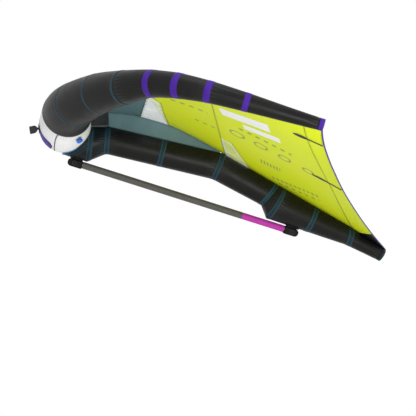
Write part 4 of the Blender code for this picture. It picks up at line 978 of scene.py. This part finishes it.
def cut_size(points, faces):
    """Sides of the rectangle that holds a flat cut, along the cloth's own long and short ways, and its area."""
    flat = points.reshape(-1, 3)
    a, b, c, d = (flat[faces[:, k]] for k in range(4))
    area = float(np.linalg.norm(np.cross(c - a, d - b), axis=1).sum() / 2)
    used = flat[np.unique(faces)]
    ways = np.linalg.svd(used - used.mean(0), full_matrices=False)[2]
    wide, deep = (float(side) for side in np.ptp(used @ ways[:2].T, axis=0))
    grow = max(1.0, math.sqrt(area / (wide * deep)))
    return (wide * grow, deep * grow), area


def sheet_mesh(name, points, wall, keep=None, flip=1.0):
    """Thin sheet over an open grid, of some of its cells and mirrored if asked, with its quads."""
    faces = grid_faces(*points.shape[:2])
    lay = corner_lay(run_along(points, 1), run_along(points, 0))
    if keep is not None:
        faces, lay = faces[keep.reshape(-1)], lay[keep.reshape(-1)]
    return thicken(add_mesh(name, points * flip, lay, rim_distance(points, faces), faces), wall), faces


def cloth_piece(name, points, material, nodes, rests_on, wall=0.0006, **changes):
    """Sheet with its flat cut noted, standing for some nodes."""
    piece, faces = sheet_mesh(name, points, wall, **changes)
    dress(piece, material, "wing", *nodes)
    cut_from(piece, *cut_size(points, faces), rests_on)


def ribbon(name, points, material, sheet_name, wall=0.0005):
    """Narrow tape from a grid with few rows, sewn on a sheet."""
    sewn_on(dress(sheet_mesh(name, points, wall)[0], material, "wing"), sheet_name)


print("sheet helpers ready")

# %% Panels
FRONT_LINE, MIDDLE_LINE = 0.158, 0.4405
WINDOW_CORNER, WINDOW_END = 0.49, 0.61
STRIP_FRONT = ((0.0, 0.884), (0.30, 0.906), (0.56, 0.924), (0.80, 0.917), (1.0, 0.909))
WINDOW_ACROSS, WINDOW_ROWS, WINDOW_COLUMNS = 0.295, 18, 33


def strip_of(first, last, rows, across):
    """Grid of shares for a panel between two cross lines, each one number or one for each share across."""
    return across, first + shares(0.0, 1.0, rows)[:, None] * (last - first)


def window_back(across):
    """Aft border of the front window: straight to its outboard corner, which is cut off towards the front."""
    return np.interp(across, (0.0, WINDOW_CORNER, WINDOW_END), (0.2475, 0.2290, FRONT_LINE))


window_across = joined(shares(0.0, WINDOW_CORNER, 60), shares(WINDOW_CORNER, WINDOW_END, 24))
forward_across = joined(window_across, shares(WINDOW_END, 1.0, 50))
window_across = window_across[:-1]
strip_front = smooth_table(STRIP_FRONT, forward_across)
rear_across = joined(shares(0.0, WINDOW_ACROSS, WINDOW_COLUMNS + 1), shares(WINDOW_ACROSS, 1.0, 77))
window_rear = 0.5235 - 0.0430 * np.minimum(rear_across / WINDOW_ACROSS, 1.0)
rear_down = joined(shares(0.0, 1.0, WINDOW_ROWS + 1), 1.0 + shares(0.0, 1.0, 73))[:, None]
rear_line = np.where(
    rear_down <= 1.0,
    MIDDLE_LINE + rear_down * (window_rear - MIDDLE_LINE),
    window_rear + (rear_down - 1.0) * (smooth_table(STRIP_FRONT, rear_across) - window_rear),
)
rear_grid = rear_across, rear_line
cell_row, cell_column = grid_of(np.arange(len(rear_line) - 1), np.arange(len(rear_across) - 1))
in_window = (cell_row < WINDOW_ROWS) & (cell_column < WINDOW_COLUMNS)
PANELS = (
    ("front_panel", strip_of(0.012, FRONT_LINE, 40, shares(0.0, 1.0, 120) ** 1.3), slate_cloth, None),
    ("front_window", strip_of(FRONT_LINE, window_back(window_across), 26, window_across), window_film, None),
    ("forward_panel", strip_of(window_back(forward_across), MIDDLE_LINE, 64, forward_across), lime_cloth, None),
    ("rear_panel", rear_grid, lime_cloth, ~in_window),
    ("rear_window", rear_grid, rear_film, in_window),
    ("trailing_strip", strip_of(strip_front, 1.0, 24, forward_across), lime_cloth, None),
)
for label, flip in SIDES.items():
    for name, grid, cloth, keep in PANELS:
        node = f"{label}_{name}"
        rests_on = ["cloth_centre_sleeve"]
        cloth_piece(f"cloth_{node}", canopy(*grid), cloth, [node], rests_on, keep=keep, flip=flip)

# %% [markdown]
# ## Seams on the canopy
# Two panels are joined by a tape on the underside. A thin ribbon follows the cross line a hair below the
# cloth. Where the sheet meets the tube, a wider ribbon lies on the tube along the sewn line.

# %% Seam ribbons
SEAM_DROP, SEAM_HALF = 0.0007, 0.0010
SEAMS = (
    (FRONT_LINE, slate_tape, "front_panel"),
    (window_back(forward_across), lime_tape, "forward_panel"),
    (MIDDLE_LINE, lime_tape, "rear_panel"),
    (strip_front, lime_tape, "trailing_strip"),
)
for label, flip in SIDES.items():
    for number, (seam_line, tape, name) in enumerate(SEAMS, start=1):
        line = seam_line + shares(-SEAM_HALF, SEAM_HALF, 4)[:, None]
        points = under_canopy(0.002 + 0.996 * forward_across, line, SEAM_DROP) * flip
        ribbon(f"{label}_canopy_seam_{number}", points, tape, f"cloth_{label}_{name}")
    station = shares(0.0, 9.84, 240)
    wider = np.array((0.0, 0.0, 0.0, 0.018))[:, None] * np.exp(-((station / 0.40) ** 2))
    offset = np.array((-0.014, -0.007, 0.0, 0.006))[:, None] + wider
    points = edge_skin(station, attach_turn(station) + offset / edge_curve(station)[1], SEAM_DROP) * flip
    ribbon(f"{label}_attach_seam", points, teal_tape, f"cloth_{label}_sleeve_3")
print("seams on each side:", len(SEAMS) + 1)

# %% Seam under the nose and welts on the strut
UNDER_NOSE = math.radians(186.0)
seam_place, seam_side = grid_of(shares(-0.99, 0.99, 80), (-0.022, 0.0, 0.022))
closing_seam = edge_skin(seam_place, UNDER_NOSE + seam_side, 0.0006)
ribbon("nose_closing_seam", closing_seam, grey_tape, "cloth_centre_sleeve")


def welt(first, last, count, rise):
    """Thin fin on the strut's top in the middle plane, up to the canopy where they meet."""
    share, back = grid_of((0.0, 0.5, 1.0), shares(first, last, count))
    low = strut_top(back) - 0.0025
    high = np.where(back < CROWN_BACK, low + 0.0025 + rise, root_height(back) + 0.0001)
    return np.stack((0.0 * back, back, low + share * (high - low)), -1)


flange, nose_welt = welt(KNEE_BACK, ROOT_LAST, 240, 0.0020), welt(-0.5255, KNEE_BACK, 30, 0.0080)
ribbon("strut_top_flange", flange, cap_cloth, "cloth_strut_middle", wall=0.0014)
ribbon("strut_nose_welt", nose_welt, grey_tape, "cloth_strut_nose", wall=0.0024)
print("seams and welts made")

# %% [markdown]
# ## Trailing edge and battens
# The trailing edge is bound with a rolled tape that runs from the strut to the tip. In front of it, battens
# keep the cloth from fluttering: stiff tapered strips in pockets, which show as long leaves under the cloth.

# %% Trailing tape and batten pockets
batten_cloth = ripstop("batten", (0.048, 0.055, 0.085), (0.036, 0.042, 0.070))
BATTENS = ((0.895, 0.912, 0.843), (0.540, 0.590, 0.845))
BATTEN_WIDTHS = ((0.0, 0.2), (0.12, 0.8), (0.25, 1.0), (0.38, 0.8), (0.5, 0.25), (1.0, 0.25))
BATTEN_END = 0.997
for label, flip in SIDES.items():
    across = shares(0.0008, 0.992, 130)
    normal = canopy_normal(across, np.ones_like(across))
    aft = unit(canopy(across, 1.0) - canopy(across, 0.99))
    middle = canopy(across, 1.0) + aft * 0.0038 + normal * 0.0003
    points = swept(middle, aft * 0.0042, normal * 0.0022, 16) * flip
    closed_tube(f"cloth_{label}_trailing_tape", points, edge_tape, f"{label}_trailing_tape")
    for number, (first, last, start) in enumerate(BATTENS, start=1):
        share = shares(0.0, 1.0, 60)
        across, line = first + share * (last - first), start + share * (BATTEN_END - start)
        normal = canopy_normal(across, line)
        side = unit(np.cross(normal, canopy(across, line + 0.01) - canopy(across, line - 0.01)))
        width = 0.010 * smooth_table(BATTEN_WIDTHS, share) + 0.0012
        points = swept(canopy(across, line) - normal * 0.0024, side * width[:, None], normal * 0.0017, 16) * flip
        closed_tube(f"cloth_{label}_batten_{number}", points, batten_cloth, f"{label}_batten_{number}")
print("trailing edge and battens made")

# %% [markdown]
# ## Web and patches
# A web of slate cloth stands between the strut and the canopy and carries the canopy's pull into the strut. At
# the nose it is doubled by a black patch. At the strut's tail a dark patch spreads the load into the canopy.

# %% Web and patches
WEB_SHARE, WEB_LEAN = shares(0.0, 1.0, 24)[:, None], 0.022


def web_points(first, last, columns):
    """Grid between the strut's top and the canopy's underside in the middle plane; each end may lean."""
    back = first + shares(0.0, 1.0, columns) * (last - first)
    low, high = strut_top(back) + 0.0004, root_height(back) - 0.0002
    bulge = 0.0010 * np.sin(WEB_SHARE * math.pi) * np.sin(back * 70.0)
    return np.stack((bulge, back, low + WEB_SHARE * (high - low)), -1)


def nose_line():
    """Where the web meets the back of the leading edge, which is a circle, at each share of its height."""
    _, middle_back, middle_up, radius = EDGE[0]
    return middle_back + np.sqrt(radius**2 - (0.190 + WEB_SHARE * 0.055 - middle_up) ** 2) - 0.0012


lean = WEB_LEAN * WEB_SHARE
points = web_points(KNEE_BACK + 0.0008 - lean, float(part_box("centre_web")[1].y), 120)
cloth_piece("cloth_centre_web", points, slate_cloth, ["centre_web"], ["cloth_strut_front"])
points = web_points(nose_line(), KNEE_BACK + 0.0030 - lean, 24)
cloth_piece("cloth_web_patch", points, cap_cloth, ["web_patch"], ["cloth_strut_nose"], wall=0.0016)
for label, flip in SIDES.items():
    t, s = grid_of(shares(0.02, 1.0, 26), shares(0.0, 1.0, 26))
    points = under_canopy(0.001 + 0.166 * s * t, 0.907 + 0.091 * t, 0.0012) * flip
    cloth_piece(f"{label}_tail_patch", points, cap_cloth, [], [f"cloth_{label}_trailing_strip"])

# %% [markdown]
# ## Nose seam of the strut
# Where the strut meets the leading edge, a light blue tape covers the join underneath and a dark one above. Two
# rows of teal stitching run beside them. All follow the strut's skin from the line where each thread leaves
# the tube, so they take the saddle shape of the join by themselves.

# %% Join tapes
UNDERNEATH = math.radians(72.0)
JOIN_TAPES = (
    ("strut_join_tape", blue_tape, math.pi, UNDERNEATH, (-0.030, 0.0, 0.030, 0.060), 0.0010),
    ("strut_join_welt", grey_tape, 0.0, math.pi - UNDERNEATH, (-0.030, 0.0, 0.030), 0.0009),
    ("strut_nose_stitching_1", teal_tape, math.pi, 1.7, (0.20, 0.22, 0.24), 0.0007),
    ("strut_nose_stitching_2", teal_tape, math.pi, 1.7, (0.36, 0.38, 0.40), 0.0007),
)
for name, tape, middle_turn, reach, ring_steps, lift in JOIN_TAPES:
    turn = middle_turn + shares(-reach, reach, 72)
    points = strut_skin(strut_start(turn) + np.array(ring_steps)[:, None], turn, lift)
    ribbon(name, points, tape, "cloth_strut_nose", wall=0.0006)
print("join tapes made")

# %% [markdown]
# ## Handle on the nose
# A patch of purple cloth with a dark border is sewn on the nose. Two stitched anchors hold a webbing strap
# with a soft sleeve, and the strap swings fore and aft about the line through its two feet.

# %% Webbing
WEBBING_RIB = 0.0021


def webbing_finish(name, colour):
    """Heavy webbing: slanted ribs from two crossing sines, with a paler worn face."""
    material = new_finish(name, colour, 0.72, Specular_IOR_Level=0.35)
    u, v = laid(material)
    ribs = sine(u + v, WEBBING_RIB).maths("MAXIMUM", sine(u - v, WEBBING_RIB))
    fuzz = noise(placed(material), 420.0)
    tint = mixed(spread(fuzz) * ranged(ribs, -0.2, 1.0, 0.2, 1.0), colour, tone(colour, 2.4, 0.01))
    return finished(material, tint, spread(fuzz, 0.62, 0.82), (ribs, 0.00022, 0.8))


def soft_grip(name, colour):
    """Foam rubber skin with fine pores, matt and slightly mottled."""
    material = new_finish(name, colour, 0.8, Specular_IOR_Level=0.3)
    mottle = noise(placed(material), 40.0)
    tint = mixed(spread(mottle), colour, tone(colour, 1.5, 0.005))
    pores = (noise(placed(material), 900.0, 2.0), 0.0003, 0.6)
    return finished(material, tint, spread(mottle, 0.7, 0.88), pores)


webbing = webbing_finish("webbing", (0.014, 0.014, 0.015))
handle_foam = soft_grip("handle_grip", (0.012, 0.012, 0.013))
patch_cloth = tape_finish("patch_cloth", (0.070, 0.020, 0.310), edge=(0.010, 0.010, 0.012))
print("handle finishes:", webbing.name, handle_foam.name, patch_cloth.name)

# %% Patch and anchors
PATCH_HALF, ANCHOR_PLACE, ANCHOR_HALF = 0.066, 0.045, 0.015
spots = shares(0.0, 1.0, 400)
out_of_spot = edge_curve(spots)[0][:, 0]


def nose_point(out, angle, lift):
    """Point on the nose at a distance out from the middle and an angle round the tube."""
    point = edge_skin(np.interp(np.abs(out), out_of_spot, spots), angle, lift)
    return np.where((out < 0)[..., None], point * MIRROR, point)


s, t = grid_of(shares(-1.0, 1.0, 41), shares(-1.0, 1.0, 48))
soft_s, soft_t = s * np.sqrt(1 - 0.30 * t**6), t * np.sqrt(1 - 0.30 * s**6)
patch_turn = 242.0 + 44.0 * soft_t - 13.0 * (soft_s * soft_s + 0.02) ** 0.6
points = nose_point(PATCH_HALF * soft_s, np.radians(patch_turn), 0.0010)
cloth_piece("cloth_handle_patch", points, patch_cloth, ["handle_patch"], ["cloth_centre_sleeve"])
square_x, square_y = squared(24, 0.35, 0.35)
reach = shares(-1.0, 1.0, 20)[:, None]
ease = 1 - np.abs(reach) ** 8
angle = math.radians(243.0) + 0.145 * square_x * (0.9 + 0.1 * ease)
lift = 0.0034 + 0.0013 * square_y * (0.5 + 0.5 * ease)
for label, flip in SIDES.items():
    points = nose_point(flip[0] * ANCHOR_PLACE + ANCHOR_HALF * reach + 0.0 * square_x, angle, lift)
    closed_tube(f"cloth_{label}_handle_anchor", points, webbing, f"{label}_handle_anchor")
print("patch and anchors made")

# %% Strap and its sleeve
FEET = np.array((0.0, -0.75876, 0.1005))
OUTWARD, AROUND = np.array((0.0, -0.8976, -0.4408)), np.array((0.0, -0.4408, 0.8976))
HANG = 0.05
HALF_PATH = np.array(
    (
        (0.0410, -0.0054, 0.0051),
        (0.0410, -0.0034, 0.0068),
        (0.0410, 0.0005, 0.0080),
        (0.0410, 0.0040, 0.0125),
        (0.0410, 0.0085, 0.0235),
        (0.0410, 0.0130, 0.0330),
        (0.0400, 0.0210, 0.0360),
        (0.0380, 0.0270, 0.0350),
        (0.0310, 0.0330, 0.0335),
        (0.0260, 0.0355, 0.0330),
    )
)
path = np.concatenate((HALF_PATH, HALF_PATH[::-1] * MIRROR))
for _ in range(3):
    cut_in = np.stack((0.75 * path[:-1] + 0.25 * path[1:], 0.25 * path[:-1] + 0.75 * path[1:]), 1).reshape(-1, 3)
    path = np.concatenate((path[:1], cut_in, path[-1:]))
leaning = OUTWARD - HANG * AROUND
middle = FEET + path[:, :1] * OUT + path[:, 1:2] * leaning
thick = unit(np.cross(unit(np.gradient(middle, axis=0)), AROUND))
points = swept(middle, AROUND * path[:, 2:3] / 2, thick * 0.0014, 28, (0.3, 0.6))
closed_tube("cloth_front_handle_strap", points, webbing, "front_handle_strap", body="front_handle")
reach = shares(-1.0, 1.0, 40)[:, None]
ends_in = np.sqrt(np.clip(1 - (0.985 * np.abs(reach)) ** 10, 0.0, 1.0))
wide = 0.0190 * (0.9 + 0.1 * ends_in)
deep = 0.0046 * (1 - 0.12 * np.abs(reach) ** 3) * (0.6 + 0.4 * ends_in)
middle = FEET + 0.0355 * leaning + 0.0232 * reach * OUT
points = swept(middle, AROUND * wide, OUTWARD * deep, 28, (0.55, 0.75))
pad = closed_tube("cloth_front_handle_grip", points, handle_foam, "front_handle_grip", body="front_handle")
print("strap and sleeve made")

# %% [markdown]
# ## Boom grips
# The boom is a tube with a moulded rubber skin. Slanted ribs run round it like a screw thread, which keeps a
# wet hand from turning on it. Real ribs are modelled, because they show along the outline in close views.

# %% Grips
RIB_PITCH, RIB_STARTS = 0.0085, 4
GRIP_RADIUS, BORE_RADIUS = 0.0165, 0.0149


def grip(name, first, last, material, node):
    """Ribbed sleeve about the boom's axis: radius less a cosine of distance plus turn, closed round its bore."""
    outer = shares(first, last, int((last - first) / 0.0012))
    turn = turns(48, 1)
    rib = 0.5 + 0.5 * np.cos(2 * math.pi * outer[:, None] / RIB_PITCH + RIB_STARTS * turn)
    ends = np.minimum(outer - first, last - outer)[:, None]
    radius = GRIP_RADIUS - 0.0004 * rib**2 - 0.0009 * np.exp(-ends / 0.0012)
    bore = np.full((1, len(turn)), BORE_RADIUS)
    radius = np.concatenate((bore, radius, bore, bore))
    back = np.concatenate(((first,), outer, (last, first)))[:, None] + 0 * turn
    points = np.stack((radius * np.sin(turn), back, radius * np.cos(turn)), -1)
    border = np.concatenate((ends[:1], ends, ends[-1:], ends[:1])) + 0 * turn
    dress(tube_mesh(name, points, turn * GRIP_RADIUS + 0 * back, back, border), material, "boom", node)


def grip_finish(name, colour, groove_shade_colour):
    """Rubber with painted shade in its grooves: the same screw-thread cosine picks where the shade is painted."""
    material = new_finish(name, colour, 0.6, Specular_IOR_Level=0.2)
    x, y, z = parts_of(placed(material))
    thread = y * (2 * math.pi / RIB_PITCH) + x.maths("ARCTAN2", z) * RIB_STARTS
    # Painted shade: the grooves darken towards the groove shade colour; a noise makes that shade patchy and
    # varies the roughness.
    shade_gloss_noise = noise(placed(material), 60.0)
    shade = ranged(thread.maths("COSINE"), -0.2, 1.0) * ranged(shade_gloss_noise, 0.25, 0.75, 0.55, 1.0)
    pores = (noise(placed(material), 1400.0, 2.0), 0.0002, 0.5)
    return finished(material, mixed(shade, colour, groove_shade_colour), spread(shade_gloss_noise, 0.5, 0.7), pores)


# The second colour of each grip is the painted shade of its grooves.
grey_rubber = grip_finish("grey_grip", (0.125, 0.120, 0.112), (0.050, 0.049, 0.046))
magenta_rubber = grip_finish("magenta_grip", (0.560, 0.050, 0.450), (0.360, 0.024, 0.290))
grip("ribbed_front_grip", -0.507, 0.2937, grey_rubber, "boom_front_grip")
grip("ribbed_rear_grip", 0.294, 0.507, magenta_rubber, "boom_rear_grip")
print("grips made")

# %% [markdown]
# ## Rigid pieces
# The fittings, clips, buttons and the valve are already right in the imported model, so they keep their shape and
# only get a finish. Moulded plastic has a fine grain and paler scuffs, metal fine drawn lines.

# %% Plastic and metal


def moulded(name, colour, roughness=0.42, gloss=0.3):
    """Moulded plastic: a fine grain, flow marks and paler scuffs."""
    material = new_finish(name, colour, roughness, Specular_IOR_Level=gloss)
    spot = placed(material)
    flow = noise(spot, 30.0)
    shade = mixed(spread(flow), colour, tone(colour, 1.35, 0.0015))
    shade = mixed(ranged(noise(spot, 130.0, 6.0), 0.60, 0.72) * 0.30, shade, tone(colour, 2.2, 0.015))
    rough = spread(flow, roughness - 0.07, roughness + 0.1)
    return finished(material, shade, rough, (noise(spot, 700.0, 2.0), 0.00015, 0.5))


def metal(name, colour, roughness):
    """Metal with fine drawn lines and a faint cloud in its gloss."""
    material = new_finish(name, colour, roughness, Metallic=1.0)
    _, y, _ = parts_of(placed(material))
    drawn = noise(placed(material), 260.0, 4.0)
    rough = spread(drawn, roughness - 0.08, roughness + 0.1)
    tint = mixed(spread(drawn), colour, tone(colour, 0.8))
    return finished(material, tint, rough, ((y * 9000.0).maths("SINE"), 0.00002, 0.5))


black_plastic = moulded("moulded_black", (0.0022, 0.0022, 0.0026), gloss=0.09)
button_plastic = moulded("button_grey", (0.030, 0.032, 0.036))
steel = metal("steel", (0.55, 0.55, 0.55), 0.28)
KEPT = {
    "boom_tube": metal("boom_alloy", (0.30, 0.30, 0.31), 0.38),
    "valve_flange": moulded("valve_pale", (0.60, 0.62, 0.64)),
    "valve_body": moulded("valve_grey", (0.10, 0.11, 0.12)),
    "valve_cap": moulded("valve_blue", (0.010, 0.140, 0.760), 0.35),
}
for end in ("front", "rear"):
    for name in (f"boom_{end}_fitting", f"{end}_clip_base", f"{end}_release_button"):
        KEPT[name] = black_plastic
for node, material in KEPT.items():
    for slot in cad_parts[node].material_slots:
        slot.material = material
print("rigid nodes with a finish:", len(KEPT))

# %% [markdown]
# ## Springs and rings of the buttons
# A coil spring shortens as its button is pressed. It is drawn as a wire along a helix, and the share of its
# length that it keeps when the button travels is worked out. Each button sits in a small raised ring, which
# guides a thumb to it: a circle carried round another circle.

# %% Springs and button rings
WIRE, COILS, TRAVEL = 0.0004, 3.0, 0.003
RING_RADIUS, RING_THICKNESS, RING_OUT = 0.0082, 0.0012, 0.0176


def around(turn):
    """Directions square to the x axis: cosine along y and sine along z."""
    return np.stack((0.0 * turn, np.cos(turn), np.sin(turn)), -1)


for end in ("front", "rear"):
    low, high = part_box(f"{end}_button_spring")
    centre = np.array((0.0, (low.y + high.y) / 2, (low.z + high.z) / 2))
    coil = max(high.y - low.y, high.z - low.z) / 2 - WIRE
    share = shares(0.0, 1.0, 120)
    spokes = around(2 * math.pi * COILS * share)
    run = (low.x + WIRE + (high.x - low.x - 2 * WIRE) * share)[:, None] * OUT
    points = swept(centre + run + coil * spokes, WIRE * spokes, WIRE * OUT, 10)
    spring = closed_tube(f"{end}_spring_coil", points, steel, f"{end}_button_spring", body="boom")
    keep = 1.0 - TRAVEL / (high.x - low.x)
    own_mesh(spring)
    print(end, "spring keeps", round(keep, 3), "of its length")
for end in ("front", "rear"):
    low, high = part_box(f"{end}_release_button")
    centre = np.array((RING_OUT, (low.y + high.y) / 2, (low.z + high.z) / 2))
    spokes = around(turns(48))
    points = swept(centre + RING_RADIUS * spokes, RING_THICKNESS * spokes, RING_THICKNESS * OUT, 12)
    points = np.concatenate((points, points[:1]))
    points = np.concatenate((points, points[:, :1]), 1)
    across = run_along(points, 1)
    ring = tube_mesh(f"{end}_button_ring", points, across, run_along(points, 0), across)
    dress(ring, button_plastic, "boom")
left = [n for n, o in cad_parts.items() if not o.hide_render and n not in KEPT]
print("nodes still to be dressed:", left)

# %% [markdown]
# ## Counting the cloth
# Every sheet was noted with the flat size that it was cut to and what it rests on, and every tape with the
# sheet that it is sewn on; here they are counted.

# %% Cloth and its flat cuts
print("sheets declared:", len(CUTS), "- tapes on them:", sum(len(trims) for trims in TRIMS.values()))

# %% [markdown]
# ## Light and floor
# The studio is plain: a pale floor far below the floating wing, one broad lamp above, one low on the viewer's
# side and one behind. The world is white for the camera and for reflections, and softer for everything that
# it lights, so a colour renders about as it is written.

# %% Stage
FLOOR_REACH, FLOOR_HEIGHT, WORLD_LIGHT = 2.2, -2.1, 0.64


def lamp(name, place, aim, size, power):
    """Square area lamp at a place, turned towards an aim."""
    data = bpy.data.lights.new(name, "AREA")
    data.size, data.energy = size, power
    thing = add_object(name, data)
    thing.location = place
    thing.rotation_euler = (Vector(aim) - Vector(place)).to_track_quat("-Z", "Y").to_euler()


lamp("lamp_above", (1.2, -1.2, 3.6), (0.0, 0.0, 0.2), 1.2, 42.0)
lamp("lamp_viewer", (4.2, 0.6, -0.2), (0.0, 0.1, 0.2), 1.2, 72.0)
lamp("lamp_behind", (-2.6, 1.8, 1.6), (0.0, 0.0, 0.2), 1.8, 26.0)

world = bpy.data.worlds.new("studio")
bpy.context.scene.world = world
world.use_nodes = True
tree = world.node_tree
tree.nodes.clear()
rays = tree.nodes.new("ShaderNodeLightPath").outputs
by_camera, glossy, through = (Result(rays[f"Is {kind} Ray"]) for kind in ("Camera", "Glossy", "Transmission"))
seen = by_camera.maths("MAXIMUM", glossy.maths("MAXIMUM", through))
strength = ranged(seen, 0.0, 1.0, WORLD_LIGHT, 1.0)
sky = add_node(tree, "Background", Color=(1.0, 1.0, 1.0, 1.0), Strength=strength)
add_node(tree, "OutputWorld", Surface=Result(sky.outputs[0]))

floor_finish = new_finish("floor", (0.86, 0.86, 0.86), 0.9)
mottle = mixed(noise(placed(floor_finish), 1.3), (0.85, 0.85, 0.85), (0.88, 0.88, 0.88))
feed(floor_finish.node_tree.nodes["Principled BSDF"].inputs["Base Color"], mottle)
circle = np.stack((np.cos(turns(72)), np.sin(turns(72)), 0.0 * turns(72)), -1)
points = shares(0.0, FLOOR_REACH, 12)[:, None, None] * circle + FLOOR_HEIGHT * UP
floor = add_mesh("floor", points, None, np.ones(points.shape[:2]), grid_faces(12, 72, ring=True))
floor.data.materials.append(floor_finish)
bpy.context.scene.view_settings.view_transform = "Standard"
print("stage ready")
